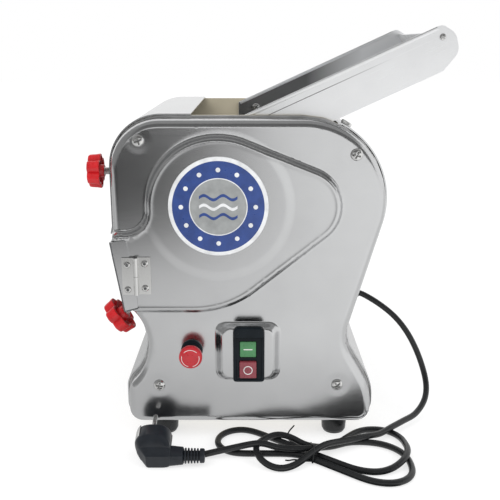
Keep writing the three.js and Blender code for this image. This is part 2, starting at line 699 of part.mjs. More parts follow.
function outletDoor() {
  const lean = (z) => DOOR_TOP.clone().lerp(DOOR_FOOT, (DOOR_TOP.y - z) / (DOOR_TOP.y - DOOR_FOOT.y));
  const panel = (foot, y0, y1) => {
    const { x, y: z } = lean(foot);
    return slab(bandPoints([[DOOR_TOP.x, DOOR_TOP.y, 0], [x, z, 0]]), y0, y1);
  };
  const face = BULGE_FACE - GAP;
  const flange = slab(roundedPoints([
    [DOOR_FOOT.x, DOOR_FOOT.y, 0], [-132.8, 155.7, 2], [-133.8, 169.7, 0], [-139.3, 209, 0],
    [-142.5, 227, 4], [DOOR_TOP.x, DOOR_TOP.y, 0],
  ]), face - SHEET, face);
  return join(panel(DOOR_PANEL_FOOT, face - SHEET, DOOR_FAR),
    panel(DOOR_FOOT.y, face - SHEET, -135), flange);
}
piece('outlet_door', outletDoor(), STAINLESS);

const hingeMiddle = (HINGE_LOW + HINGE_HIGH) / 2;
function knuckle(z0, z1) {
  const tubeAt = (radius, over) => new THREE.CylinderGeometry(radius, radius, z1 - z0 + over, 16)
    .rotateX(Math.PI / 2).translate(HINGE_X, HINGE_Y, (z0 + z1) / 2);
  return { barrel: tubeAt(KNUCKLE, 0), bore: tubeAt(1.3, 4) };
}
const upperKnuckle = knuckle(hingeMiddle + GAP / 2, HINGE_HIGH);
const lowerKnuckle = knuckle(HINGE_LOW, hingeMiddle - GAP / 2);
const doorLeafFace = BULGE_FACE - 2 * GAP - SHEET;
piece('door_hinge_leaf', cut(join(
  box(-147.3, HINGE_X - 2.3, doorLeafFace - LEAF, doorLeafFace, HINGE_LOW, HINGE_HIGH),
  box(HINGE_X - 2.4, HINGE_X - 1, doorLeafFace - LEAF, doorLeafFace, hingeMiddle + GAP / 2, HINGE_HIGH),
  upperKnuckle.barrel), upperKnuckle.bore), ZINC);
const coverLeafFace = BULGE_FACE - GAP;
piece('cover_hinge_leaf', cut(join(
  box(HINGE_X + 1.2, -118.5, coverLeafFace - LEAF, coverLeafFace, HINGE_LOW, HINGE_HIGH),
  box(HINGE_X, HINGE_X + 1.7, HINGE_Y, coverLeafFace, HINGE_LOW, hingeMiddle - GAP / 2),
  lowerKnuckle.barrel), lowerKnuckle.bore), ZINC);
piece('hinge_pin', new THREE.CylinderGeometry(1, 1, HINGE_HIGH - HINGE_LOW, 12)
  .rotateX(Math.PI / 2).translate(HINGE_X, HINGE_Y, hingeMiddle), ZINC);

// -- gap screws at the top front and clamp screws at the outlet

const upperKnobFace = -182.3;
[['near', -1], ['far', 1]].forEach(([word, side]) => {
  const gapAxis = new THREE.Vector3(1, 0, 0);
  const place = new THREE.Vector3(upperKnobFace, side * UPPER_KNOB_Y, FRONT_ROLLER.y);
  piece(`upper_knob_${word}`, aimed(starKnob(), place, gapAxis), RED);
  const studStart = upperKnobFace + 5 + GAP;
  const studEnd = FRONT_ROLLER.x - BLOCK.front + 6.5;
  const stud = new THREE.CylinderGeometry(STUD, STUD, studEnd - studStart, 16)
    .translate(0, (studEnd - studStart) / 2, 0);
  piece(`upper_stud_${word}`, aimed(stud,
    new THREE.Vector3(studStart, place.y, place.z), gapAxis), ZINC);

  const inward = clampAxis.clone().negate();
  const clampReach = 30.5;
  const clampPlace = clampFoot(side).addScaledVector(clampAxis, clampReach);
  piece(`lower_knob_${word}`, aimed(starKnob(), clampPlace, inward), RED);
  const clampStud = new THREE.CylinderGeometry(STUD, STUD, 37, 16).translate(0, 37 / 2 + 5 + GAP, 0);
  piece(`lower_stud_${word}`, aimed(clampStud, clampPlace, inward), ZINC);
});

// -- controls on the near cover

const panelFace = -COVER_FACE - GAP;
piece('estop_collar', cut(turned(ESTOP, [
  [0, -120], [7.9, -120], [7.9, panelFace], [11.2, panelFace], [11.2, panelFace - 2.4],
  [9, panelFace - 3.2], [8.6, -159.5], [0, -159.5],
]), rod(ESTOP, 4.6, -175, -140, 16)), BLACK_PLASTIC);
piece('estop_head', turned(ESTOP, [
  [0, -150], [4, -150], [4, -163.5], [8.5, -163.5], [9.4, -165], [12, -167.5], [12, -171.5],
  [10.6, -173.6], [7, -174.6], [0, -175],
]), RED);

const START = { x0: -28.3, x1: -11.8, z0: 104.4, z1: 121.4, face: -165.8 };
const STOP = { x0: -28.8, x1: -11.3, z0: 81.9, z1: 100.1, face: -168.6 };
const BUTTON_BACK = -155;
const POCKET_FLOOR = -149;

function switchHousing() {
  const { x0, x1, z0, z1 } = SWITCH;
  const back = BOSS_FACE - GAP;
  const front = -166.5;
  const bezel = loft([
    { y: back, points: boxPoints(x0, z0, x1, z1, 3) },
    { y: front + 1.5, points: boxPoints(x0, z0, x1, z1, 3) },
    { y: front, points: boxPoints(x0 + 1.2, z0 + 1.2, x1 - 1.2, z1 - 1.2, 2) },
  ]);
  const hood = slab(roundedPoints([
    [x0 + 0.6, z1 - 6, 1], [x1 - 0.6, z1 - 6, 1], [x1 - 0.6, z1 + 2, 3], [x0 + 0.6, z1 + 2, 3],
  ]), -169.8, front + 5);
  const body = box(x0 + 3, x1 - 3, back - 1, -118, z0 + 5.6, z1 - 5.6);
  const pocket = ({ x0: a, x1: b, z0: c, z1: d }) =>
    box(a - 0.5, b + 0.5, -180, POCKET_FLOOR, c - 0.5, d + 0.5);
  return cut(join(bezel, hood, body), pocket(START), pocket(STOP));
}
piece('switch_housing', switchHousing(), BLACK_PLASTIC);

function button({ x0, x1, z0, z1, face }) {
  return loft([
    { y: BUTTON_BACK, points: boxPoints(x0, z0, x1, z1, 1) },
    { y: face + 1, points: boxPoints(x0, z0, x1, z1, 1) },
    { y: face, points: boxPoints(x0 + 0.8, z0 + 0.8, x1 - 0.8, z1 - 0.8, 0.5) },
  ]);
}
piece('start_button', button(START), GREEN_BUTTON);
piece('stop_button', button(STOP), RED_BUTTON);

// -- feet

const standingFoot = () => new THREE.LatheGeometry([
  [0, 0], [FOOT_RADIUS - 2, 0], [FOOT_RADIUS - 1.2, 1], [FOOT_RADIUS, BODY_BOTTOM - 2],
  [FOOT_RADIUS, BODY_BOTTOM - GAP], [0, BODY_BOTTOM - GAP],
].map(([r, h]) => new THREE.Vector2(r, h)), 20).rotateX(Math.PI / 2);
FEET_X.forEach((x, i) => [-1, 1].forEach((side) => {
  const name = `foot_${i ? 'rear' : 'front'}_${side < 0 ? 'near' : 'far'}`;
  piece(name, welded(standingFoot()).translate(x, side * FOOT_Y, 0), RUBBER);
}));

// -- mains lead: gland, free lead, tied bundle, tail and angled plug

const glandProfile = [
  [0, -8], [6.6, -8], [6.6, 0.6], [8.6, 0.6], [8.6, 3], [7.2, 4.4], [4.9, GLAND_LENGTH],
  [0, GLAND_LENGTH],
];
piece('cable_gland', aimed(turned(new THREE.Vector2(), glandProfile, 16), GLAND_ROOT, GLAND_AXIS),
  RUBBER);

const CORD_FLOOR = CORD + 0.2;
const leadStart = GLAND_ROOT.clone().addScaledVector(GLAND_AXIS, GLAND_LENGTH + GAP);
const LEAD = [
  leadStart.toArray(),
  leadStart.clone().addScaledVector(GLAND_AXIS, 4).toArray(),
  [129.3, -45.5, 124.7], [146.9, -50, 112.4], [159.5, -54.5, 99.8], [170, -59, 84.8],
  [179, -64, 66.5], [185.5, -69, 47.5], [187, -75, 30.5], [182, -83, 15],
  [174, -92.5, 6], [163.5, -105.5, CORD_FLOOR], [155.5, -115.5, CORD_FLOOR],
];
piece('cord_lead', tube(LEAD, CORD, 2), RUBBER);

const BUNDLE = [              // outline of the tied loops on the bench: x, y, radius
  [-60, -180, 8], [-26, -183, 10], [-20, -222, 22], [24, -224, 20], [47, -203, 30],
  [92, -250, 30], [150, -250, 26], [155.5, -180, 40], [149, -119, 14], [112, -125, 40],
  [47, -157, 30], [-2, -126, 30], [-60, -126, 18],
];
const bundleOutline = new THREE.Shape(roundedPoints(BUNDLE));
piece('cord_bundle', welded(new THREE.ExtrudeGeometry(bundleOutline, {
  depth: BUNDLE_HEIGHT, bevelEnabled: false })), RUBBER);

// the plug lies on the bench with its pins raised a little; its frame is turned about X
const plugGroup = new THREE.Group();
plugGroup.position.copy(PLUG_FACE);
plugGroup.rotation.x = THREE.MathUtils.degToRad(PLUG_TILT);
group.add(plugGroup);
const RELIEF_Y = -PLUG_DEPTH + 9.5;
const RELIEF_Z = -5;
const plugBody = join(
  turned(new THREE.Vector2(), [[0, -PLUG_DEPTH], [11, -PLUG_DEPTH], [PLUG_RADIUS - 1, -18],
    [PLUG_RADIUS, -14], [PLUG_RADIUS, -1], [PLUG_RADIUS - 1, 0], [0, 0]]),
  aimed(new THREE.CylinderGeometry(6.2, 9, 42, 16), new THREE.Vector3(24, RELIEF_Y, RELIEF_Z),
    new THREE.Vector3(1, 0, 0)),
  aimed(new THREE.CylinderGeometry(7.4, 7.4, 9, 16),
    new THREE.Vector3(PLUG_RELIEF_END - 4.5, RELIEF_Y, RELIEF_Z), new THREE.Vector3(1, 0, 0)));
const PIN_Z = 9.5;
const pinHole = (z) => rod(new THREE.Vector2(0, z), 2.7, -6, 5, 12);
piece('mains_plug', cut(plugBody, pinHole(PIN_Z), pinHole(-PIN_Z)), RUBBER, plugGroup);
[['upper', PIN_Z], ['lower', -PIN_Z]].forEach(([word, z]) => {
  piece(`plug_pin_${word}`, turned(new THREE.Vector2(0, z), [
    [0, -6 + GAP], [2.4, -6 + GAP], [2.4, 17.5], [1.4, 19], [0, 19],
  ], 12), ZINC, plugGroup);
});

plugGroup.updateMatrixWorld(true);
const reliefEnd = new THREE.Vector3(PLUG_RELIEF_END + GAP, RELIEF_Y, RELIEF_Z);
const tailEnd = plugGroup.localToWorld(reliefEnd.clone());
const bundleLeft = -60 - GAP;
const TAIL = [
  tailEnd.toArray(),
  [bundleLeft + 0.1, tailEnd.y, tailEnd.z - 0.2],
];
if (TAIL[1][0] - TAIL[0][0] > 1) piece('cord_tail', tube(TAIL, CORD), RUBBER);

// ---------------------------------------------------------------- origin

// The origin is the bottom centre of the machine itself, without its lead.
const ON_THE_CORD = /^(cord_|mains_plug|plug_pin)/;
group.updateMatrixWorld(true);
const bounds = new THREE.Box3();
group.traverse((node) => {
  if (node.isMesh && !ON_THE_CORD.test(node.name)) bounds.expandByObject(node);
});
const middle = bounds.getCenter(new THREE.Vector3());
group.position.set(-middle.x, -middle.y, -bounds.min.z);
group.updateMatrixWorld(true);

export default group;
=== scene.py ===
"""Looks for a bench-top electric dough sheeter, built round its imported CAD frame.

The drawing is in millimetres about the machine's mid-plane: +X towards the feed tray, -Y towards
the controls, +Z up. place() and add_mesh() carry it into the row frame, which is in metres.
"""

import json
import math

import bpy
import numpy as np
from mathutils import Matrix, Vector, geometry


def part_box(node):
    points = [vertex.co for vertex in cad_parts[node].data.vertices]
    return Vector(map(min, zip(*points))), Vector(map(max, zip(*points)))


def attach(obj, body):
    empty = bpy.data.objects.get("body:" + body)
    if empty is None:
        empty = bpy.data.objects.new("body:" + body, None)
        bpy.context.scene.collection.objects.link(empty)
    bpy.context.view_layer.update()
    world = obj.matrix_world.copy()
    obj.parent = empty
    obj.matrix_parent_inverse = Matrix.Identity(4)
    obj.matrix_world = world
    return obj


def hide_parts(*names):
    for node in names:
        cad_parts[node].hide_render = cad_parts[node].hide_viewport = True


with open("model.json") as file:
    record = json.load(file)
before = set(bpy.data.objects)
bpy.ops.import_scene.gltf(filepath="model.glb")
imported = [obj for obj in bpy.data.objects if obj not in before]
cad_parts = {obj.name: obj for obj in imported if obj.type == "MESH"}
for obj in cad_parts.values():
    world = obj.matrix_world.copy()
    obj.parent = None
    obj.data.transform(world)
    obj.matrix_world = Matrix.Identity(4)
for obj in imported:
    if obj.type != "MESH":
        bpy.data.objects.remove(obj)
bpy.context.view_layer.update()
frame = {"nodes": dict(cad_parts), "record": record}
MM = 0.001

BASE_PLATE_CORNER = Vector((-142, -128.5, 22)) * MM
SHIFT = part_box("base_plate")[0] - BASE_PLATE_CORNER
SLOT_OF = {part["node"]: part["material_slot"] for part in frame["record"]["subparts"]}


def place(x, y, z):
    """A point of the drawing, in millimetres, as a point of the row frame, in metres."""
    return Vector((x, y, z)) * MM + SHIFT


# ---- driving dimensions

SHEET = 1.5
COVER_FACE = 151
COVER_RIM = 129.3
SHELL_HALF = 129
SHELL_PROUD = 4
EDGE_ROUND = 8
BULGE_RISE = 6
BULGE_EDGE_ROUND = 4
BULGE_FACE = COVER_FACE + BULGE_RISE
BOSS_RISE = 8
PLATFORM_RISE = 0.4
BODY_BOTTOM = 22

# side outline of the covers: x, z, corner radius, anticlockwise from the lower front
SILHOUETTE = [
    (-148, BODY_BOTTOM, 14.5), (111.5, BODY_BOTTOM, 15), (111.5, 59, 60), (79.7, 114.3, 45),
    (146, 346, 84), (-157, 346, 50), (-157, 226, 20), (-139.5, 148, 9), (-107.1, 106.9, 57),
    (-148, 63.7, 22),
]
BULGE = [
    (-180, 147, 0), (-39.3, 147, 105), (117.7, 272.3, 42.3), (-34.6, 333, 73),
    (-124.5, 333, 73), (-124.5, 236.5, 20), (-180, 236.5, 0),
]
ROLLER_SPACING = 52
ROLLER_CLIMB = 30.9
REAR_ROLLER = np.array([-49.3, 261.0])
FRONT_ROLLER = REAR_ROLLER + np.array([-math.sqrt(ROLLER_SPACING ** 2 - ROLLER_CLIMB ** 2), ROLLER_CLIMB])
LABEL_CENTRE = REAR_ROLLER
LABEL_RADIUS = 49.8
PLATFORM_RADII = (66, 77)
COVER_SCREWS = [(-127.5, 325.9), (86.8, 312), (74.6, 66.9), (-114.4, 66.3)]
COVER_SCREW_SPINS = (20, 65, 40, 80)
COVER_SCREW_RADIUS = 6.25
ESTOP = (-79, 106.5)
# the switch's frame and its two keys: x and z of the lower left, then of the upper right
SWITCH = (-35.5, 76.5, -3, 134)
START = (-28.3, 104.4, -11.8, 121.4)
STOP = (-28.8, 81.9, -11.3, 100.1)
BEZEL_FACE = 166.5
START_FACE = 165.8
STOP_FACE = 168.6
KEY_BACK = 155
TRAY_HALF = 121.5
TRAY_PIVOT = (-10.1, 337.1)
TRAY_INSIDE = TRAY_HALF - SHEET - 0.2
TRAY_SLOPE = math.radians(24.6)
# side outline of the tray, from its lower edge at the rollers round the nose
TRAY_SIDE = [
    (-33, 296.5, 0), (173.5, 390.9, 4), (188.5, 409.5, 14), (184, 427.5, 14), (170, 435.5, 8),
    (-33, 343.5, 1),
]
# the folded hem stands proud of each side of the wall and a little over its top edge
HEM_WIDTH = 3.8
HEM_PROUD = 0.75
HEM_OVER = 0.25
CREASE_DROP = 9.5
CREASE_WIDTH = 0.7
DOOR_TOP = np.array([-159.2, 224.6])
DOOR_FOOT = np.array([-146.9, 151.5])
# the door's panel reaches round to its far edge only above this height
DOOR_NARROW_BELOW = 166
DOOR_NARROW_EDGE = -135
DOOR_FAR_EDGE = 150
DOOR_GAP = 0.3
HINGE_LEAF = 1.2
CLAMP_FOOT = np.array([-141.9, 144.6])
CLAMP_OUT = np.array([-0.785, -0.619])
CLAMP_Y = 111
# the waist panel's two ears start this far from the mid-plane and rise from this height
EAR_INNER = 98
WAIST_LEDGE = 141.5
GAP_SCREW_Y = 124.3
GAP_KNOB_X = -182.3
# a gap stud ends this far before the front roller's axis, and each stud starts this deep in its knob
GAP_STUD_SHORT = 17.5
KNOB_SINK = 5.3
GAP_KNOB_RADIUS = 17.0
CLAMP_KNOB_RADIUS = 19.6
CLAMP_KNOB_OUT = 30.5
CLAMP_STUD = 37
GLAND_ROOT = np.array([90.8, -40, 138.5])
GLAND_AXIS = np.array([0.9614, 0, -0.2751])
FOOT_Y = 123
FOOT_X = (("front", -111.6), ("rear", 75.5))
PLUG_FACE = np.array([-118, -177, 21.9])
PLUG_TILT = math.radians(16)
SIDES = (("near", -1), ("far", 1))

# ---- camera

CAMERA_POINT = (-18, -895, 416)
CAMERA_PITCH = 15.1
CAMERA_LENS = 54.72
CAMERA_SENSOR = 36
CAMERA_REACH = (0.01, 60)


def new_object(name, data):
    made = bpy.data.objects.new(name, data)
    bpy.context.collection.objects.link(made)
    return made


def make_camera():
    data = bpy.data.cameras.new("camera")
    data.lens = CAMERA_LENS
    data.sensor_width = CAMERA_SENSOR
    data.clip_start, data.clip_end = CAMERA_REACH
    camera = new_object("camera", data)
    camera.location = place(*CAMERA_POINT)
    camera.rotation_euler = (math.radians(90 - CAMERA_PITCH), 0, 0)
    bpy.context.scene.camera = camera


make_camera()

# ---- materials

NOISE_SPAN = (0.3, 0.7)
BARE_BEYOND = 126.2


class Look:
    """A Principled material with a few helpers for its nodes; patterns are sized in millimetres."""

    def __init__(self, name, colour, roughness, metallic=0.0, **sockets):
        self.material = bpy.data.materials.new(name)
        self.material.use_nodes = True
        self.tree = self.material.node_tree
        self.shader = self.tree.nodes["Principled BSDF"]
        settings = {"Base Color": (*colour, 1), "Roughness": roughness, "Metallic": metallic}
        settings.update({key.replace("_", " "): value for key, value in sockets.items()})
        for key, value in settings.items():
            self.shader.inputs[key].default_value = value

    def node(self, kind, **settings):
        made = self.tree.nodes.new(kind)
        for key, value in settings.items():
            setattr(made, key, value)
        return made

    def link(self, output, to):
        self.tree.links.new(output, to)

    def mapped(self, source, **settings):
        """A point or its pattern, turned or scaled."""
        mapping = self.node("ShaderNodeMapping", vector_type="POINT")
        for key, value in settings.items():
            mapping.inputs[key].default_value = value
        self.link(source, mapping.inputs["Vector"])
        return mapping.outputs[0]

    def noise(self, grain, detail, slope=0):
        """Noise whose spots are grain millimetres long on each axis; slope tips them up about Y."""
        turned = self.mapped(self.node("ShaderNodeTexCoord").outputs["Object"], Rotation=(0, slope, 0))
        noise = self.node("ShaderNodeTexNoise")
        noise.inputs["Scale"].default_value = 1
        noise.inputs["Detail"].default_value = detail
        self.link(self.mapped(turned, Scale=[1000 / g for g in grain]), noise.inputs["Vector"])
        return noise.outputs["Fac"]

    def axis(self, name):
        """The X, Y or Z of the surface's point, in metres of the row frame."""
        split = self.node("ShaderNodeSeparateXYZ")
        self.link(self.node("ShaderNodeTexCoord").outputs["Object"], split.inputs[0])
        return split.outputs[name]

    def spread(self, source, low, high, first, last, smooth=False):
        """Runs from first to last while the source runs from low to high."""
        made = self.node("ShaderNodeMapRange", interpolation_type="SMOOTHSTEP" if smooth else "LINEAR")
        for key, value in zip(("From Min", "From Max", "To Min", "To Max"), (low, high, first, last)):
            made.inputs[key].default_value = value
        self.link(source, made.inputs["Value"])
        return made.outputs[0]

    def combine(self, operation, first, second):
        """One step of arithmetic; second is a number or another node's output."""
        made = self.node("ShaderNodeMath", operation=operation)
        self.link(first, made.inputs[0])
        if isinstance(second, bpy.types.NodeSocket):
            self.link(second, made.inputs[1])
        else:
            made.inputs[1].default_value = second
        return made.outputs[0]

    def vary(self, socket, source, low, high):
        """Runs a number socket between two values."""
        self.link(self.spread(source, *NOISE_SPAN, low, high), self.shader.inputs[socket])

    def tint(self, source, low, high):
        """Runs the base colour between two colours."""
        ramp = self.node("ShaderNodeValToRGB")
        for element, position, colour in zip(ramp.color_ramp.elements, NOISE_SPAN, (low, high)):
            element.position = position
            element.color = (*colour, 1)
        self.link(source, ramp.inputs["Fac"])
        self.link(ramp.outputs["Color"], self.shader.inputs["Base Color"])

    def bump(self, source, strength, depth):
        """Relief of that many millimetres."""
        relief = self.node("ShaderNodeBump")
        relief.inputs["Strength"].default_value = strength
        relief.inputs["Distance"].default_value = depth * MM
        self.link(source, relief.inputs["Height"])
        self.link(relief.outputs["Normal"], self.shader.inputs["Normal"])


def scaled(colour, factor):
    return tuple(min(1, c * factor) for c in colour)


def brushed(name, colour, rough, grain, relief, slope=0):
    """Steel with fine brush lines, cloudy handling marks and a little uneven shine."""
    look = Look(name, colour, rough, 1.0)
    lines = look.noise(grain, 3, slope)
    look.tint(look.noise((40, 40, 40), 3), scaled(colour, 0.97), scaled(colour, 1.02))
    look.vary("Roughness", lines, rough * 0.9, rough * 1.12)
    look.bump(lines, relief, 0.05)
    return look


def moulded(name, colour, rough, relief, coat=0.0, specular=0.5):
    """Plastic or rubber with a fine spark-eroded grain."""
    look = Look(name, colour, rough, Coat_Weight=coat, Coat_Roughness=0.12, Specular_IOR_Level=specular)
    look.tint(look.noise((9, 9, 9), 4), scaled(colour, 0.86), scaled(colour, 1.14))
    look.vary("Roughness", look.noise((3, 3, 3), 3), rough * 0.85, rough * 1.15)
    look.bump(look.noise((0.5, 0.5, 0.5), 2), relief, 0.08)
    return look


def cast_metal():
    look = Look("cast", (0.16, 0.165, 0.17), 0.55, 0.7)
    look.tint(look.noise((2, 2, 2), 4), (0.11, 0.115, 0.12), (0.2, 0.205, 0.21))
    look.bump(look.noise((1.2, 1.2, 1.2), 3), 0.4, 0.2)
    return look


def painted_steel():
    """The inner plates' cream paint; their outer faces stay bare, as galvanised steel."""
    look = Look("inner_steel", (0.56, 0.5, 0.37), 0.45)
    look.tint(look.noise((60, 60, 60), 3), (0.5, 0.45, 0.33), (0.6, 0.54, 0.41))
    look.vary("Roughness", look.noise((8, 8, 8), 2), 0.38, 0.55)
    look.bump(look.noise((1.5, 1.5, 1.5), 2), 0.15, 0.05)
    from_middle = look.combine("SUBTRACT", look.axis("Y"), SHIFT.y)
    outside = look.combine("GREATER_THAN", look.combine("ABSOLUTE", from_middle, 0), BARE_BEYOND * MM)
    mix = look.node("ShaderNodeMix", data_type="RGBA")
    colour = look.shader.inputs["Base Color"]
    look.link(outside, mix.inputs["Factor"])
    look.link(colour.links[0].from_socket, mix.inputs[6])
    mix.inputs[7].default_value = (0.6, 0.6, 0.6, 1)
    look.link(mix.outputs[2], colour)
    look.link(outside, look.shader.inputs["Metallic"])
    return look


def shaded_steel():
    """The inside of the tray's far wall, in the shade at its foot and lighter as it climbs."""
    look = Look("shaded_steel", scaled(STEEL, 0.4), 0.34, 1.0)
    grain = look.noise((90, 0.25, 0.25), 3, TRAY_SLOPE)
    look.tint(look.spread(look.axis("X"), 0, 0.18, 0, 1), scaled(STEEL, 0.3), scaled(STEEL, 1.5))
    look.vary("Roughness", grain, 0.28, 0.4)
    look.bump(grain, 0.05, 0.05)
    return look


STEEL = (0.62, 0.625, 0.63)
# colour, roughness, millimetres of grain along x, y and z, relief and slope of the grain
BRUSHED = {
    "stainless": (STEEL, 0.19, (25, 25, 0.2), 0.003),
    "stainless_deck": (scaled(STEEL, 1.08), 0.24, (0.35, 40, 0.35), 0.05),
    # the tray's steel is a brighter copy of the stainless: painted light on the tray
    "stainless_tray_lit": (scaled(STEEL, 1.46), 0.3, (60, 0.25, 0.25), 0.04, TRAY_SLOPE),
    "machined": ((0.6, 0.6, 0.59), 0.28, (20, 0.3, 20), 0.1),
    "zinc": ((0.72, 0.72, 0.71), 0.16, (2, 2, 2), 0.06),
    "bronze": ((0.55, 0.38, 0.17), 0.3, (15, 0.4, 15), 0.1),
}
# colour, roughness, relief, coat and specular level
MOULDED = {
    # a pale grey for the tray's turned-up lip: painted light on the lip
    "lit_lip_grey": ((0.84, 0.85, 0.86), 0.4, 0.03),
    "red_plastic": ((0.52, 0.006, 0.01), 0.3, 0.05, 0.1),
    "red_cap": ((0.42, 0.012, 0.02), 0.3, 0.06, 0.2),
    "red_key": ((0.2, 0.035, 0.047), 0.28, 0.05, 0.2),
    "green_key": ((0.052, 0.2, 0.075), 0.3, 0.05, 0.15),
    "white_print": ((0.62, 0.61, 0.6), 0.4, 0.03),
    "black_plastic": ((0.006, 0.009, 0.012), 0.24, 0.08, 0, 0.16),
    "black_rubber": ((0.011, 0.012, 0.013), 0.3, 0.1),
    "plug_rubber": ((0.012, 0.015, 0.02), 0.36, 0.2, 0, 0.42),
    "label_blue": ((0.02, 0.052, 0.21), 0.32, 0.03, 0.25),
    "label_grey": ((0.27, 0.28, 0.28), 0.34, 0.03, 0.25),
    "label_white": ((0.66, 0.67, 0.68), 0.32, 0.03, 0.25),
}


def make_materials():
    looks = {name: brushed(name, *values) for name, values in BRUSHED.items()}
    looks.update({name: moulded(name, *values) for name, values in MOULDED.items()})
    looks.update(cast=cast_metal(), inner_steel=painted_steel(), shaded_steel=shaded_steel())
    return {name: look.material for name, look in looks.items()}


LOOKS = make_materials()

# ---- floor, light and what the steel reflects, in metres

FLOOR_LEVEL = -0.0003
FLOOR_REACH = 8
LIT_POINT = Vector((0, 0, 0.2))
# How the bench seen in the steel changes, as from, to, first and last value: FRONT and CLOSE along Y,
# LEFT and RIGHT along X, and CORNER over how far a point lies to the front left.
BENCH_FRONT = (-0.5, -1.35, 0, 1)
BENCH_LEFT = (0.3, -0.5, 0, 1)
BENCH_CORNER = (0, 1, 1, 0.02)
BENCH_RIGHT = (-0.3, 0.3, 0.74, 1.02)
BENCH_CLOSE = (-0.45, -0.24, 1, 0.8)
# the shade under the plug and the cord's crossing, in the drawing's millimetres
DARK_PATCH = [(-24, -192), (-20, -212), (34, -222), (70, -242), (100, -270), (126, -296), (134, -192)]
# grey cards round the machine: brightness and corners
CARDS = {
    "grey_left": (0.3, [(-0.9, -3.2, 0.1), (-3.5, 1.5, 0.1), (-3.5, 1.5, 3), (-0.9, -3.2, 3)]),
    "dark_front": (0.16, [(-3.5, -2.6, 0.75), (3.5, -2.6, 0.75), (3.5, -1.6, 2.6), (-3.5, -1.6, 2.6)]),
    "dark_above": (0.34, [(-3.5, -1.6, 2.6), (3.5, -1.6, 2.6), (3.5, 0.9, 2.6), (-3.5, 0.9, 2.6)]),
}


def area_light(name, location, size, power):
    """A square light aimed at the machine, which the steel doesn't reflect."""
    data = bpy.data.lights.new(name, "AREA")
    data.shape = "RECTANGLE"
    data.size = data.size_y = size
    data.energy = power
    light = new_object(name, data)
    light.location = location
    light.rotation_euler = (LIT_POINT - Vector(location)).to_track_quat("-Z", "Y").to_euler()
    light.visible_glossy = False


def glowing(name, brightness):
    """A look that gives an even grey light, for what the steel reflects."""
    return Look(name, (0, 0, 0), 0.5, Specular_IOR_Level=0,
                Emission_Color=(brightness, brightness, brightness, 1), Emission_Strength=1)


def stage_sheet(name, corners, look, seen=False):
    """A flat stage surface; unless it is seen, it only shows in reflections."""
    mesh = bpy.data.meshes.new(name)
    mesh.from_pydata(corners, [], [tuple(range(len(corners)))])
    mesh.materials.append(look.material)
    sheet = new_object(name, mesh)
    sheet.visible_camera = seen
    sheet.visible_diffuse = seen
    sheet.visible_shadow = False
    sheet.visible_glossy = not seen


def bench_look():
    """What the steel sees of the bench: grey near by, darkening to the front left."""
    look = glowing("bench_seen_in_steel", 1)
    x, y = look.axis("X"), look.axis("Y")
    front = look.spread(y, *BENCH_FRONT, True)
    front_left = look.combine("MULTIPLY", front, look.spread(x, *BENCH_LEFT, True))
    shade = look.spread(front_left, *BENCH_CORNER, True)
    light = look.combine("MULTIPLY", shade, look.spread(x, *BENCH_RIGHT, True))
    light = look.combine("MULTIPLY", light, look.spread(y, *BENCH_CLOSE, True))
    look.link(light, look.shader.inputs["Emission Strength"])
    return look


def make_stage():
    floor = Look("floor", (0.4, 0.4, 0.4), 0.9, Specular_IOR_Level=0,
                 Emission_Color=(1, 1, 1, 1), Emission_Strength=0.66)
    corners = ((-1, -1), (1, -1), (1, 1), (-1, 1))
    square = [(x * FLOOR_REACH, y * FLOOR_REACH, FLOOR_LEVEL) for x, y in corners]
    stage_sheet("floor", square, floor, seen=True)
    stage_sheet("bench_reflection", square, bench_look())
    stage_sheet("dark_patch", [place(x, y, 0.1) for x, y in DARK_PATCH], glowing("dark_patch", 0))
    for name, (brightness, corners) in CARDS.items():
        stage_sheet(name, corners, glowing(name, brightness))

    world = bpy.data.worlds.new("studio")
    world.use_nodes = True
    background = world.node_tree.nodes["Background"]
    background.inputs["Color"].default_value = (1, 1, 1, 1)
    background.inputs["Strength"].default_value = 1.0
    bpy.context.scene.world = world
    bpy.context.scene.view_settings.view_transform = "Standard"
    area_light("key", (-0.9, -1.2, 1.7), 1.2, 10)
    area_light("fill", (1.4, -0.9, 1.1), 1, 8)


make_stage()

# ---- outlines


def ease(t):
    t = np.clip(t, 0, 1)
    return t * t * (3 - 2 * t)


def unit(vectors):
    vectors = np.asarray(vectors, float)
    return vectors / np.maximum(np.linalg.norm(vectors, axis=-1, keepdims=True), 1e-12)


def full_turn(count):
    return np.arange(count) * 2 * math.pi / count


def squared(wave, power):
    """Pushes a sine or a cosine towards its ends, which makes a circle square."""
    return np.sign(wave) * np.abs(wave) ** power


def offset(path, distance):
    """Moves every edge of a closed path to its right, outwards when the path is anticlockwise."""
    corners = [np.array(c[:2], float) for c in path]
    count = len(path)
    moved = []
    for i, (_, _, radius) in enumerate(path):
        along = [unit(corners[(k + 1) % count] - corners[k]) for k in (i - 1, i)]
        side = [np.array([a[1], -a[0]]) for a in along]
        turn = along[0][0] * along[1][1] - along[0][1] * along[1][0]
        if abs(turn) < 1e-9:
            moved.append((*(corners[i] + side[0] * distance), 0))
            continue
        gap = (side[1] - side[0]) * distance
        reach = (gap[0] * along[1][1] - gap[1] * along[1][0]) / turn
        corner = corners[i] + side[0] * distance + along[0] * reach
        moved.append((*corner, max(0.2, radius + math.copysign(distance, turn * distance)) if radius else 0))
    return moved


def arc(corner, before, after, radius, steps_for):
    """Points of the arc that rounds a corner between two directions."""
    turn = math.atan2(before[0] * after[1] - before[1] * after[0], before @ after)
    start = corner - before * radius * math.tan(abs(turn) / 2)
    centre = start + np.array([-before[1], before[0]]) * math.copysign(radius, turn)
    steps = max(1, steps_for(abs(turn)))
    arm = start - centre
    points = []
    for k in range(steps + 1):
        c, s = math.cos(turn * k / steps), math.sin(turn * k / steps)
        points.append(centre + np.array([c * arm[0] - s * arm[1], s * arm[0] + c * arm[1]]))
    return points


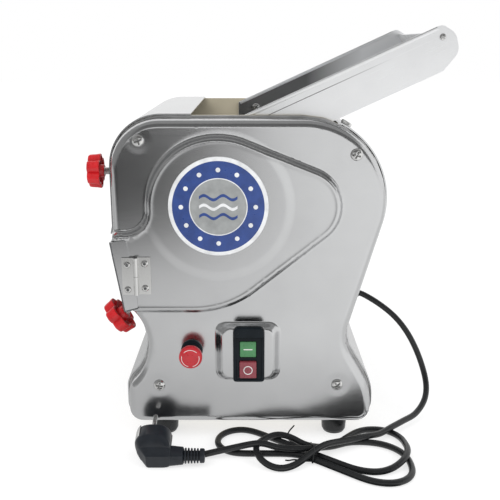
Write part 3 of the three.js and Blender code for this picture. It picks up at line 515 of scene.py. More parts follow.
def rounded(path, closed=True, step=5.0):
    """Turns x, z, radius corners into points, with each corner as an arc of steps in degrees."""
    count = len(path)
    points = []
    for i, (x, z, radius) in enumerate(path):
        corner = np.array([x, z], float)
        if not radius or (not closed and i in (0, count - 1)):
            points.append(corner)
            continue
        before = unit(corner - np.array(path[i - 1][:2]))
        after = unit(np.array(path[(i + 1) % count][:2]) - corner)
        points += arc(corner, before, after, radius, lambda turn: math.ceil(math.degrees(turn) / step))
    return np.array(points)


def rectangle(x0, z0, x1, z1, radius):
    return [(x0, z0, radius), (x1, z0, radius), (x1, z1, radius), (x0, z1, radius)]


def ring(centre, radius, count):
    angle = full_turn(count)
    return np.column_stack([centre[0] + radius * np.cos(angle), centre[1] + radius * np.sin(angle)])


def walked(loop, step, closed=True):
    """Points at an even step along a loop or line."""
    line = np.vstack([loop, loop[:1]]) if closed else np.asarray(loop)
    along = np.concatenate([[0], np.cumsum(np.linalg.norm(np.diff(line, axis=0), axis=1))])
    at = np.linspace(0, along[-1], max(2, round(along[-1] / step)), endpoint=not closed)
    return np.column_stack([np.interp(at, along, line[:, k]) for k in range(line.shape[1])])


def divided(loop, step):
    """A closed loop with points added along its long edges."""
    parts = []
    for start, end in zip(loop, np.roll(loop, -1, axis=0)):
        count = math.ceil(np.linalg.norm(end - start) / step)
        parts.append(start + (end - start) * np.arange(count)[:, None] / count)
    return np.vstack(parts)


def nearest(points, loop):
    """How far each point is inside a closed loop, and the way out from it."""
    start, end = loop, np.roll(loop, -1, axis=0)
    edge = end - start
    rise = np.where(np.abs(edge[:, 1]) < 1e-12, 1e-12, edge[:, 1])
    depth, way = np.empty(len(points)), np.empty((len(points), 2))
    for first in range(0, len(points), 4000):
        p = points[first:first + 4000, None]
        share = np.clip(((p - start) * edge).sum(2) / (edge ** 2).sum(1), 0, 1)
        foot = start + share[..., None] * edge
        gap = np.linalg.norm(foot - p, axis=2)
        best = gap.argmin(1)
        rows = np.arange(len(p))
        crosses = (start[:, 1] > p[..., 1]) != (end[:, 1] > p[..., 1])
        at = start[:, 0] + (p[..., 1] - start[:, 1]) * edge[:, 0] / rise
        sign = np.where((crosses & (p[..., 0] < at)).sum(1) % 2, 1, -1)
        depth[first:first + 4000] = sign * gap[rows, best]
        direction = edge[best]
        out = np.column_stack([direction[:, 1], -direction[:, 0]])
        way[first:first + 4000] = unit(np.where(
            gap[rows, best][:, None] > 1e-4, sign[:, None] * (foot[rows, best] - p[:, 0]), out))
    return depth, way


def rings_of(path, depths, step):
    """Points abreast of each other along several offsets of a closed path, to refine a mesh."""
    loop = rounded(path, step=2)
    line = walked(loop, step)
    out = nearest(line, loop)[1]
    return [line - out * depth for depth in depths]


def grid(x0, z0, x1, z1, step):
    xs, zs = np.meshgrid(np.arange(x0, x1, step), np.arange(z0, z1, step))
    return np.column_stack([xs.ravel(), zs.ravel()])


def rolled(p, depth, out, edge):
    """Flat points carried round a rounded edge of that radius, and how far each one drops."""
    turn = np.maximum(0, math.pi / 2 * (1 - depth / edge))
    moved = p + out * (depth - edge * (1 - np.sin(turn)))[:, None] * (turn > 0)[:, None]
    return moved, edge * (1 - np.cos(turn))


# ---- meshes


def settled(made, body, stands_for, slot):
    """Lets a piece ride on its body, in the place of its CAD nodes, which it hides. Its slot is not used."""
    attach(made, body)
    if stands_for:
        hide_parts(*stands_for)
        slot = slot or SLOT_OF[stands_for[0]]
    return made


def add_mesh(name, points, faces, material, body, normals=None, stands_for=(), slot=None, crease=35):
    """Adds a mesh given in drawing millimetres, riding on a body."""
    mesh = bpy.data.meshes.new(name)
    mesh.from_pydata((np.asarray(points, float) * MM + np.array(SHIFT)).tolist(), [], faces)
    mesh.materials.append(LOOKS[material])
    mesh.shade_smooth()
    if normals is None:
        mesh.set_sharp_from_angle(angle=math.radians(crease))
    else:
        mesh.normals_split_custom_set(normals)
    return settled(new_object(name, mesh), body, stands_for, slot)


def triangulated(loops, inner):
    """Triangles over a flat outline and its holes, through the inner points."""
    fixed = np.vstack(loops)
    edges, first = [], 0
    for loop in loops:
        count = len(loop)
        edges += [(first + i, first + (i + 1) % count) for i in range(count)]
        first += count
    if len(inner):
        inner = inner[np.unique(np.round(inner / 0.35), axis=0, return_index=True)[1]]
        for k, loop in enumerate(loops):
            depth = nearest(inner, loop)[0]
            inner = inner[depth > 0.3 if k == 0 else depth < -0.3]
        fixed = np.vstack([fixed, inner])
    made = geometry.delaunay_2d_cdt([Vector(p) for p in fixed], edges, [], 0, 1e-5)
    flat, triangles = np.array([tuple(p) for p in made[0]]), np.array(made[2])
    middle = flat[triangles].mean(1)
    keep = np.ones(len(middle), bool)
    for k, loop in enumerate(loops):
        depth = nearest(middle, loop)[0]
        keep &= depth > 0 if k == 0 else depth < 0
    used, triangles = np.unique(triangles[keep], return_inverse=True)
    return flat[used], triangles.reshape(-1, 3)


def plate(name, loops, surface, material, body, inner=(), thickness=SHEET, flip=False, skirt=None, **about):
    """Sheet metal over a flat outline: surface() bends it into space, and it is thickened inwards.

    loops are the outline and its holes. skirt is a y to which the outline's edge is drawn down.
    """
    flat, triangles = triangulated([np.asarray(p, float) for p in loops], np.asarray(inner, float))
    reach = 0.05
    along = surface(flat + (reach, 0)) - surface(flat - (reach, 0))
    across = surface(flat + (0, reach)) - surface(flat - (0, reach))
    normal = unit(np.cross(along, across)) * (-1 if flip else 1)
    outer = surface(flat)
    a, b, c = (outer[triangles[:, k]] for k in range(3))
    facing = np.cross(b - a, c - a)
    if (facing * normal[triangles[:, 0]]).sum() < 0:
        triangles = triangles[:, ::-1]
    directed = {tuple(e) for t in triangles.tolist() for e in zip(t, t[1:] + t[:1])}
    border = [e for e in directed if e[::-1] not in directed]
    count = len(flat)
    faces = triangles.tolist() + (triangles[:, ::-1] + count).tolist()
    points = [outer, outer - thickness * normal]
    corner_normals = [*normal[triangles].reshape(-1, 3), *-normal[triangles[:, ::-1]].reshape(-1, 3)]
    total = 2 * count
    on_rim = {}
    if skirt is not None:
        near_outline = np.abs(nearest(flat, np.asarray(loops[0], float))[0]) < 1e-3
        rim = [e for e in border if near_outline[e[0]] and near_outline[e[1]]]
        border = [e for e in border if e not in set(rim)]
        ends = sorted({i for e in rim for i in e})
        on_rim = {i: total + k for k, i in enumerate(ends)}
        low = outer[ends].copy()
        low[:, 1] = skirt
        low_inside = points[1][ends].copy()
        low_inside[:, 1] = skirt
        points += [low, low_inside]
        shift = len(ends)
        for a, b in rim:
            faces.append([b, a, on_rim[a], on_rim[b]])
            corner_normals += [normal[b], normal[a], normal[a], normal[b]]
            faces.append([a + count, b + count, on_rim[b] + shift, on_rim[a] + shift])
            corner_normals += [-normal[a], -normal[b], -normal[b], -normal[a]]
            faces.append([on_rim[b], on_rim[a], on_rim[a] + shift, on_rim[b] + shift])
            corner_normals += [(0, math.copysign(1, skirt) * -1, 0)] * 4
    for a, b in border:
        wall = unit(np.cross(normal[a], outer[b] - outer[a])) * -1
        faces.append([b, a, a + count, b + count])
        corner_normals += [wall] * 4
    return add_mesh(name, np.vstack(points), faces, material, body, normals=corner_normals, **about)


def flat_wall(y):
    return lambda p: np.column_stack([p[:, 0], np.full(len(p), float(y)), p[:, 1]])


def lofted(name, sections, material, body, **about):
    """Skins a closed stack of loops that all have the same number of 3D points, with flat ends."""
    count = len(sections[0])
    points = np.vstack(sections)
    rows = np.arange(len(points)).reshape(-1, count)
    after = np.roll(rows, -1, axis=1)
    faces = np.dstack([rows[:-1], after[:-1], after[1:], rows[1:]]).reshape(-1, 4).tolist()
    faces += [rows[0, ::-1].tolist(), rows[-1].tolist()]
    volume = 0.0
    for face in faces:
        for b, c in zip(face[1:], face[2:]):
            volume += np.dot(points[face[0]], np.cross(points[b], points[c]))
    if volume < 0:
        faces = [face[::-1] for face in faces]
    return add_mesh(name, points, faces, material, body, **about)


def basis(axis, hint=(0, 0, 1)):
    """Rows that carry local x, y, z to the drawing, with local y along the axis."""
    y = unit(np.array(axis, float))
    x = unit(np.cross(y, hint))
    return np.array([x, y, np.cross(x, y)])


def around(rows, origin, reach, angle, height):
    """A ring of points about an axis, at a height along it and as far out as reach."""
    local = np.column_stack([reach * np.cos(angle), np.full(len(angle), height), reach * np.sin(angle)])
    return local @ rows + origin


def lathe(name, profile, origin, axis, material, body, sides=48, ripple=None, **about):
    """A turned piece: radius, height, rounding profile about an axis, from end to end."""
    rows = basis(axis, (0, 0, 1) if abs(unit(axis)[2]) < 0.9 else (1, 0, 0))
    angle = full_turn(sides)
    sections = []
    for radius, height in rounded(profile, closed=False, step=15):
        radius = max(radius, 0.02)
        reach = radius if ripple is None else radius + ripple(angle, radius, height)
        sections.append(around(rows, origin, reach, angle, height))
    return lofted(name, sections, material, body, **about)


def slab(name, path, y_face, y_back, edge, material, body, **about):
    """A block over an x, z path, with its front edge rounded."""
    toward = math.copysign(1, y_face - y_back)
    levels = [(y_back, 0)]
    for k in range(5):
        turn = math.radians(90 * k / 4)
        levels.append((y_face - toward * edge * (1 - math.sin(turn)), edge * (1 - math.cos(turn))))
    sections = []
    for y, inset in levels:
        loop = rounded(offset(path, -inset), step=10)
        sections.append(np.column_stack([loop[:, 0], np.full(len(loop), y), loop[:, 1]]))
    return lofted(name, sections, material, body, **about)


def wire(name, points, radius, material, body, stands_for=(), slot=None):
    """A round tube along points of the drawing."""
    data = bpy.data.curves.new(name, "CURVE")
    data.dimensions = "3D"
    data.bevel_depth = radius * MM
    data.bevel_resolution = 6
    data.use_fill_caps = True
    spline = data.splines.new("POLY")
    spline.points.add(len(points) - 1)
    for item, point in zip(spline.points, points):
        item.co = (*place(*point), 1)
    spline.use_smooth = True
    data.materials.append(LOOKS[material])
    return settled(new_object(name, data), body, stands_for, slot)


# ---- mains cord

CORD = 6.8
# the free lead's points, from the gland down to the bench
GLAND_TIP = GLAND_ROOT + 21.3 * GLAND_AXIS
FREE_LEAD = [
    tuple(GLAND_TIP), tuple(GLAND_TIP + 4 * GLAND_AXIS), (129.3, -45.5, 124.7), (146.9, -50, 112.4),
    (159.5, -54.5, 99.8), (170, -59, 84.8), (179, -64, 66.5), (185.5, -69.5, 48), (188, -79, 32.5),
    (184, -92, 19.5),
]
# the cord on the bench, from the lead to the plug: x, y, bend radius and layer in the pile
LAID = [
    (173, -107, 40, 5), (122, -152, 60, 5), (58, -181.5, 200, 5), (26, -213, 28, 4),
    (-12.2, -213, 27, 3), (-12.2, -154, 27, 3), (26, -154, 27, 3), (55, -186.5, 31, 3),
    (104, -130.5, 30, 2), (146.8, -130.5, 27, 2), (146.8, -219, 38, 2), (94, -219, 40, 1.5),
    (-19, -131.5, 27, 1), (-53.5, -131.5, 25.5, 1), (-53.5, -183, 25.5, 1), (34, -183, 50, 1),
    (104.7, -239.5, 40, 1), (146, -239.5, 27, 1), (146, -159.5, 40, 1), (92, -159.5, 45, 3.5),
    (50, -186.5, 60, 4.5), (-14, -182, 120, 4.5), (-65.2, -185.9, 0, 4.5),
]
LAID_STEP = 2.0
# how far to each side of a crossing the upper cord stays lifted
HUMP_REACH = 38
# the laid cord's first points are propped up on its other turns, from this height to that
PROPPED = 26
PROPPED_HEIGHTS = (11.2, 9.8)
# the laid point that the free lead passes as it comes down, and the one where it becomes the laid cord
LANDING = (2, 11)

# y, half widths to -x, +x, -z and +z, and squareness
PLUG_HULL = [
    (0, 16.8, 16.8, 17, 14.4, 2.3), (-0.8, 18, 18, 18, 15.6, 2.4), (-1.8, 18.5, 18.5, 18.4, 16, 2.4),
    (-15.5, 18.5, 18.5, 18.4, 16, 2.4), (-16.2, 18.1, 18.2, 18, 15.4, 2.6), (-19, 17, 18.6, 16.4, 13, 3.2),
    (-24, 13.6, 19.6, 14.6, 8.4, 4.6), (-24.6, 12.6, 19.6, 14.4, 6.8, 5), (-33, 6.4, 19.4, 13.2, 4.2, 6),
    (-34, 5.4, 18.4, 12.2, 3.2, 6),
]
# x and half widths along y and z
PLUG_NECK = [
    (10, 9.2, 8.6), (19, 9.2, 8.6), (22, 8.9, 8.3), (28, 8.3, 7.8), (31.5, 8.0, 7.6), (32.5, 6.4, 6.2),
]
# the strain relief's middle, from the middle of the plug's face
RELIEF_Y = -24.5
RELIEF_Z = -5.0
# the tie's turn round the crossing, as y and z, and its two loose ends
TIE_LOOP = [
    (-198.6, 2), (-199.2, 6), (-197, 11.5), (-193, 15.9), (-187.5, 16.4), (-181, 13.6), (-174, 9.4),
    (-168, 7.4), (-165.6, 4), (-167, 1.2), (-180, 1), (-192, 1), (-198.6, 2),
]
TIE_ENDS = [
    [(45.5, -166, 3), (38, -162, 1.5), (29, -156, 1.2), (22.5, -147.5, 2), (25, -139, 5), (31, -131, 8)],
    [(45, -199, 4), (36, -195, 2), (28, -192, 1.5), (22, -196, 3), (18.5, -199, 5)],
]


def filleted(corners, step):
    """Points about a step apart along a path whose corners are arcs, and each point's layer."""
    at = [np.array(corner[:2], float) for corner in corners]
    points, layers = [], []
    last = at[0]
    for i in range(1, len(corners) - 1):
        before, after = unit(at[i] - at[i - 1]), unit(at[i + 1] - at[i])
        radius, layer = corners[i][2:]
        bend = arc(at[i], before, after, radius, lambda turn: round(turn * radius / step))
        count = max(1, round(np.linalg.norm(bend[0] - last) / step))
        points += [last + (bend[0] - last) * k / count for k in range(count)] + bend[:-1]
        layers += [corners[i - 1][3]] * count + [layer] * (len(bend) - 1)
        last = bend[-1]
    return np.array([*points, at[-1]]), np.array([*layers, corners[-1][3]])


def softened(line, times):
    """Evens out a line's points, keeping its ends."""
    line = np.array(line, float)
    for _ in range(times):
        line[1:-1] = 0.25 * line[:-2] + 0.5 * line[1:-1] + 0.25 * line[2:]
    return line


def piled_heights(points, layers, radius):
    """Heights that lay a cord over its own lower layers in long low humps."""
    steps = np.linalg.norm(np.diff(points, axis=0), axis=1)
    along = np.concatenate([[0], np.cumsum(steps)])
    gap = np.linalg.norm(points[:, None] - points[None], axis=2)
    apart = np.abs(along[:, None] - along[None])
    order = np.arange(len(points))
    above = (layers[:, None] > layers[None]) | (
        (layers[:, None] == layers[None]) & (order[:, None] > order[None]))
    resting = above & (gap < 2 * radius) & (apart > 3 * 2 * radius)
    rise = np.sqrt(np.maximum(0, (2 * radius) ** 2 - gap ** 2))
    share = np.minimum(apart / HUMP_REACH, 1)
    hump = 0.5 * (1 + np.cos(np.pi * share))
    height = np.full(len(points), radius)
    for _ in range(30):
        need = np.where(resting, height[None] + rise, radius).max(axis=1)
        height = 0.5 * height + 0.5 * (radius + ((need - radius)[None] * hump).max(axis=1))
    return softened(height, 6)


def smooth_line(points, per_span):
    """A Catmull-Rom line through points."""
    p = [np.array(q, float) for q in points]
    p = [2 * p[0] - p[1], *p, 2 * p[-1] - p[-2]]
    out = []
    for a, b, c, d in zip(p, p[1:], p[2:], p[3:]):
        for t in np.arange(per_span) / per_span:
            out.append(0.5 * (2 * b + (c - a) * t + (2 * a - 5 * b + 4 * c - d) * t * t
                              + (3 * b - a - 3 * c + d) * t ** 3))
    out.append(p[-2])
    return np.array(out)


def make_cord():
    laid, layers = filleted(LAID, LAID_STEP)
    laid = softened(laid, 12)
    heights = piled_heights(laid, layers, CORD / 2)
    heights[:PROPPED] = np.maximum(heights[:PROPPED], np.linspace(*PROPPED_HEIGHTS, PROPPED))
    on_bench = np.column_stack([laid, heights])
    first, joined = LANDING
    landing = smooth_line([*FREE_LEAD, on_bench[first], on_bench[joined]], 8)
    line = np.concatenate([landing[:-1], on_bench[joined:]])
    line[:, 2] = np.maximum(line[:, 2], CORD / 2 + 0.1)
    line = softened(line, 16)
    length = float(np.linalg.norm(np.diff(line, axis=0), axis=1).sum()) * MM
    cord = wire("mains_cord", line, CORD / 2, "black_rubber", "frame",
                ("cord_lead", "cord_bundle", "cord_tail"), "black_rubber")
    return cord, line, length


def plug_section(half_widths, power, level):
    """A squared oval of the plug: half widths to -x, +x, -z, +z, and the power that squares it."""
    left, right, low, high = half_widths
    angle = full_turn(72)
    x = squared(np.cos(angle), power) * np.where(np.cos(angle) < 0, left, right)
    z = squared(np.sin(angle), power) * np.where(np.sin(angle) < 0, low, high)
    return x, np.full(len(angle), level), z


def make_plug():
    """The angled plug: moulded body, ribbed strain relief, two round pins and the earth clips."""
    c, s = math.cos(PLUG_TILT), math.sin(PLUG_TILT)
    turn = np.array([(1, 0, 0), (0, c, s), (0, -s, c)])
    along, out = turn[:2]

    def put(x, y, z):
        return np.column_stack([x, y, z]) @ turn + PLUG_FACE

    hull = []
    for y, left, right, low, high, square in PLUG_HULL:
        hull.append(put(*plug_section((left, right, low, high), 2 / square, y)))
    pieces = [lofted("plug_body", hull, "plug_rubber", "frame", stands_for=["mains_plug"], crease=30)]

    neck = []
    for x, half_y, half_z in PLUG_NECK:
        y, level, z = plug_section((half_y, half_y, half_z, half_z), 0.6, x)
        neck.append(put(level, y + RELIEF_Y, z + RELIEF_Z))
    pieces.append(lofted("plug_neck", neck, "plug_rubber", "frame", slot="black_rubber", crease=30))
    core, pitch = 5.2, 3.1
    profile = [(0, 30, 0), (core, 30, 0)]
    for k in range(5):
        at, reach = 33.4 + pitch * k, 8.0 - 0.12 * k
        profile += [(core, at, 0.4), (reach, at, 0.5), (reach, at + 1.6, 0.5), (core, at + 1.6, 0.4)]
    profile += [(core, 48.8, 0.4), (7.4, 48.8, 0.8), (7.4, 53.6, 1.6), (4.2, 54, 0.4), (0, 54, 0)]
    pieces.append(lathe("plug_strain_relief", profile, put(0, RELIEF_Y, RELIEF_Z)[0], along, "plug_rubber",
                        "frame", slot="black_rubber", crease=30))

    pin = [(0, -5.6, 0), (2.4, -5.6, 0), (2.4, 17.6, 1.4), (1.2, 19, 0.4), (0, 19, 0)]
    collar = [(0, -0.5, 0), (3.9, -0.5, 0), (3.9, 0.35, 0.2), (3.1, 0.35, 0.1), (2.9, 0, 0), (0, 0, 0)]
    for word, z in (("upper", 9.5), ("lower", -9.5)):
        foot = put(0, 0, z)[0]
        pieces.append(lathe("pin_" + word, pin, foot, out, "zinc", "frame", 28,
                            stands_for=["plug_pin_" + word], crease=40))
        pieces.append(lathe("pin_collar_" + word, collar, foot, out, "plug_rubber", "frame", 28,
                            slot="black_rubber"))
    # an earth clip: y and height above the body, round its section, and as many points across as this
    band = ((0.5, -0.5), (0.5, 0.35), (-1, 0.6), (-13.5, 0.6), (-14.4, 0.3), (-14.4, -0.5))
    across = 13
    for word, middle in (("left", 157), ("right", -23)):
        turns = np.radians(middle + np.linspace(-21, 21, across))
        strip = [put((18.4 + proud) * np.cos(turns), np.full(across, y), (18.4 + proud) * np.sin(turns))
                 for y, proud in band]
        rows = np.arange(len(band) * across).reshape(len(band), across)
        after = np.roll(rows, -1, axis=0)
        faces = np.dstack([rows[:, :-1], rows[:, 1:], after[:, 1:], after[:, :-1]]).reshape(-1, 4).tolist()
        faces += [rows[:, 0].tolist(), rows[::-1, -1].tolist()]
        pieces.append(add_mesh("earth_clip_" + word, np.vstack(strip), faces, "zinc", "frame", slot="zinc"))
    return pieces


def make_tie():
    """The twist of wire round the crossing of the cord, with its two loose ends."""
    loop = [(46 + 0.12 * z, y, z) for y, z in TIE_LOOP]
    ties = []
    for name, points, radius in (("tie_loop", loop, 0.9), ("tie_end_1", TIE_ENDS[0], 0.8),
                                 ("tie_end_2", TIE_ENDS[1], 0.8)):
        ties.append(wire(name, smooth_line(points, 5), radius, "black_rubber", "frame", slot="black_rubber"))
    return ties


cord, cord_line, cord_length = make_cord()
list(make_plug())
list(make_tie())

# ---- side covers

SIDE_LOOP = divided(rounded(SILHOUETTE, step=2), 5)
BULGE_LOOP = rounded(BULGE, step=2)
BOSS_FOOT = rectangle(-55, 72.7, 14.5, 138.2, 12)
BOSS_TOP = rectangle(-46, 79.2, 5, 131.9, 8)
BOSS_LOOPS = [rounded(BOSS_FOOT, step=2.5), rounded(BOSS_TOP, step=2.5)]
BULGE_RUN = 7.5
# the bulge's edge climbs slowly over its whole run and steeply in the middle, and a low bead tops it
SLOW_SHARE = 0.35
STEEP_START = 1.8
STEEP_RUN = 3.6
BEAD_RISE = 0.25
BEAD_WIDTH = 1.9
# each cover screw draws the sheet down a little
DIMPLE_DEPTH = 0.2
DIMPLE_FLOOR = 6
DIMPLE_RUN = 9


def cover_surface(side, pressed):
    """The skin of a side cover over the flat x, z of its outline."""

    def surface(p):
        depth, out = nearest(p, SIDE_LOOP)
        face = np.full(len(p), float(COVER_FACE))
        edge = np.full(len(p), float(EDGE_ROUND))
        for screw in COVER_SCREWS:
            away = np.linalg.norm(p - screw, axis=1)
            face -= DIMPLE_DEPTH * (1 - ease((away - DIMPLE_FLOOR) / DIMPLE_RUN))
        if pressed:
            inside = nearest(p, BULGE_LOOP)[0]
            share = SLOW_SHARE * ease(inside / BULGE_RUN)
            share += (1 - SLOW_SHARE) * ease((inside - STEEP_START) / STEEP_RUN)
            face += BULGE_RISE * share
            face += BEAD_RISE * np.exp(-((inside - BULGE_RUN) / BEAD_WIDTH) ** 2)
            edge -= (EDGE_ROUND - BULGE_EDGE_ROUND) * share
            away = np.linalg.norm(p - LABEL_CENTRE, axis=1)
            low, high = PLATFORM_RADII
            face += PLATFORM_RISE * ease((high - away) / (high - low))
            foot, top = (np.maximum(way * nearest(p, loop)[0], 0) for way, loop in zip((1, -1), BOSS_LOOPS))
            face += BOSS_RISE * ease(foot / (foot + top + 1e-9))
        moved, drop = rolled(p, depth, out, edge)
        return np.column_stack([moved[:, 0], side * (face - drop), moved[:, 1]])

    return surface


def make_covers():
    round_edge = rings_of(SILHOUETTE, (0.6, 1.4, 2.3, 3.3, 4.3, 5.4, 6.6, 8.2, 10), 4)
    screw_rings = [ring(screw, r, 24) for screw in COVER_SCREWS for r in (5, 7.5, 10, 12.5, 15.5)]
    both = round_edge + screw_rings + [grid(-158, 20, 148, 348, 7)]
    pressings = rings_of(BULGE, (-0.8, 0.2, 1.2, 2.3, 3.4, 4.5, 5.6, 6.7, 7.8, 8.8, 9.8, 11, 12.6, 14.5), 4)
    pressings += [ring(LABEL_CENTRE, r, 120) for r in np.arange(65, 79, 1.5)]
    pressings += rings_of(BOSS_FOOT, (-0.5, 0.5, 1.6, 2.8, 4), 2.5)
    pressings += rings_of(BOSS_TOP, (-4, -2.7, -1.4, -0.4, 0.5), 2.5)
    x0, z0, x1, z1 = SWITCH
    holes = [rounded(rectangle(x0 + 2.5, z0 + 5.1, x1 - 2.5, z1 - 5.1, 1)), ring(ESTOP, 8.3, 36)]
    plate("near_cover_skin", [SIDE_LOOP, *holes], cover_surface(-1, True), "stainless", "frame",
          np.vstack(both + pressings), skirt=-COVER_RIM, stands_for=["near_side_cover"])
    plate("far_cover_skin", [SIDE_LOOP], cover_surface(1, False), "stainless", "frame",
          np.vstack(both), flip=True, skirt=COVER_RIM, stands_for=["far_side_cover"])


# ---- screws


def phillips_head(name, centre, seat, radius, out, body, stands_for, spin):
    """A pan head with a cross recess, facing out along Y."""
    arm, half = radius * 0.62, radius * 0.13
    cross = []
    for quarter in range(4):
        c, s = round(math.cos(quarter * math.pi / 2)), round(math.sin(quarter * math.pi / 2))
        for x, z in ((arm, -half), (arm, half)):
            cross.append((c * x - s * z, s * x + c * z, half * 0.5))
        cross.append((c * half - s * half, s * half + c * half, half * 0.6))
    cross_loop = rounded(cross, step=20)
    turn = math.radians(spin)
    rows = np.array([(math.cos(turn), math.sin(turn)), (-math.sin(turn), math.cos(turn))])
    height = radius * 0.5

    def surface(p):
        away = np.linalg.norm(p, axis=1) / radius
        dome = height * np.sqrt(np.maximum(0, 1 - np.minimum(away, 1) ** 2.6))
        dome -= 1.2 * height * ease(nearest(p, cross_loop)[0] / (half * 1.1) + 0.15)
        q = p @ rows
        return np.column_stack([q[:, 0] + centre[0], seat + out * dome, q[:, 1] + centre[1]])

    inner = [ring((0, 0), radius * r, 40) for r in (0.985, 0.95, 0.9, 0.82, 0.72, 0.6, 0.45, 0.3)]
    inner += [walked(rounded(offset(cross, -d), step=20), 0.35) for d in (-0.12, 0.1, 0.35, 0.6)]
    plate(name, [ring((0, 0), radius, 40)], surface, "zinc", body, np.vstack(inner), thickness=0.25,
          flip=out > 0, skirt=seat - 0.6 * out, stands_for=stands_for, slot="zinc")


def make_screws():
    for i, (centre, spin) in enumerate(zip(COVER_SCREWS, COVER_SCREW_SPINS), 1):
        phillips_head(f"cover_screw_head_{i}", centre, -COVER_FACE, COVER_SCREW_RADIUS, -1, "frame",
                      [f"cover_screw_{i}"], spin)
        phillips_head(f"far_screw_head_{i}", centre, COVER_FACE, COVER_SCREW_RADIUS, 1, "frame", (),
                      spin + 30)
    phillips_head("tray_screw_head", (171.1, 423.5), -TRAY_HALF, 3.4, -1, "tray", (), 30)
    for word, side in SIDES:
        phillips_head(f"pivot_head_{word}", TRAY_PIVOT, side * TRAY_INSIDE, 5.6, -side, "frame",
                      [f"{word}_tray_pivot"], 50)


# ---- wrapped shells

SHELL = offset(SILHOUETTE, SHELL_PROUD)
SHELL_TOP = SILHOUETTE[4][1] + SHELL_PROUD
OPENING_FRONT = -77
OPENING_REAR = 70


class Bent:
    """A sheet that follows a path in x, z and runs along Y. Its u is the distance along the path."""

    def __init__(self, path, keep=None, level_to=None):
        line = rounded(path, closed=False, step=3)
        if keep is not None:
            line = line[[keep(p) for p in line]]
        if level_to is not None:
            line = np.vstack([line, (level_to, line[-1][1])])
        self.line = line
        self.along = np.concatenate([[0], np.cumsum(np.linalg.norm(np.diff(self.line, axis=0), axis=1))])
        self.length = self.along[-1]

    def surface(self, p):
        u = p[:, 0]
        inside = np.clip(u, 0, self.length)
        x, z = (np.interp(inside, self.along, self.line[:, k]) for k in (0, 1))
        first, last = unit(self.line[1] - self.line[0]), unit(self.line[-1] - self.line[-2])
        over = np.maximum(0, u - self.length)[:, None] * last + np.minimum(0, u)[:, None] * first
        return np.column_stack([x + over[:, 0], p[:, 1], z + over[:, 1]])

    def where(self, x, z):
        """The u of the path's point nearest to x, z."""
        fine = np.linspace(0, self.length, 2000)
        at = self.surface(np.column_stack([fine, 0 * fine]))
        return fine[np.hypot(at[:, 0] - x, at[:, 2] - z).argmin()]

    def broken(self, loop):
        """A u, y loop with a point wherever it passes a vertex of the path."""
        points = []
        for (u0, y0), (u1, y1) in zip(loop, loop[1:] + loop[:1]):
            points.append((u0, y0))
            between = self.along[(self.along > min(u0, u1) + 0.01) & (self.along < max(u0, u1) - 0.01)]
            for u in between if u1 > u0 else between[::-1]:
                points.append((u, y0 + (y1 - y0) * (u - u0) / (u1 - u0)))
        return points

    def plate(self, name, half, material, body, holes=(), outline=None, **about):
        """Makes the sheet, from -half to half across, with points at its bends so that they stay round."""
        corners = outline or [(0, -half), (self.length, -half), (self.length, half), (0, half)]
        inner = [np.column_stack([self.along, np.full(len(self.along), y)])
                 for y in np.linspace(-half, half, 14)]
        plate(name, [self.broken(corners), *holes], self.surface, material, body, np.vstack(inner),
              flip=True, **about)


def make_shells():
    front_top, front_waist = SHELL[5], SHELL[8]
    hood = Bent([(OPENING_FRONT, SHELL_TOP, 0), front_top, (front_top[0], 235, 9),
                 (front_top[0] - 1.8, 227, 0)])
    stud = hood.where(front_top[0], FRONT_ROLLER[1])
    hood.plate("hood_skin", SHELL_HALF, "stainless_deck", "frame",
               [ring((stud, side * GAP_SCREW_Y), 4.3, 24) for side in (-1, 1)], stands_for=["front_hood"])

    rear = Bent([(SHELL[1][0] - 30, SHELL[1][1], 0), *SHELL[1:5], (60, SHELL_TOP, 0)],
                lambda p: p[1] >= BODY_BOTTOM and (p[0] > OPENING_REAR or p[1] < 300), OPENING_REAR)
    gland = (rear.where(GLAND_ROOT[0], GLAND_ROOT[2]), GLAND_ROOT[1])
    rear.plate("rear_skin", SHELL_HALF, "stainless_deck", "frame", [ring(gland, 7, 32)],
               stands_for=["rear_shell"])

    ear_up = np.array([CLAMP_OUT[1], -CLAMP_OUT[0]])
    waist = Bent([(*(CLAMP_FOOT + 9.5 * ear_up), 0), front_waist, SHELL[9], SHELL[0],
                  (SHELL[0][0] + 30, SHELL[0][1], 0)], lambda p: p[1] >= BODY_BOTTOM)
    ledge = next(u for u in np.linspace(0, 60, 600) if waist.surface(np.array([[u, 0]]))[0, 2] < WAIST_LEDGE)
    clamp = waist.where(*CLAMP_FOOT)
    across, length = SHELL_HALF, waist.length
    outline = [(0, -across), (length, -across), (length, across), (0, across), (0, EAR_INNER),
               (ledge, EAR_INNER), (ledge, -EAR_INNER), (0, -EAR_INNER)]
    holes = [ring((clamp, side * CLAMP_Y), 4.5, 24) for side in (-1, 1)]
    waist.plate("waist_skin", across, "stainless_deck", "frame", holes, outline, stands_for=["waist_panel"])


# ---- tray and door


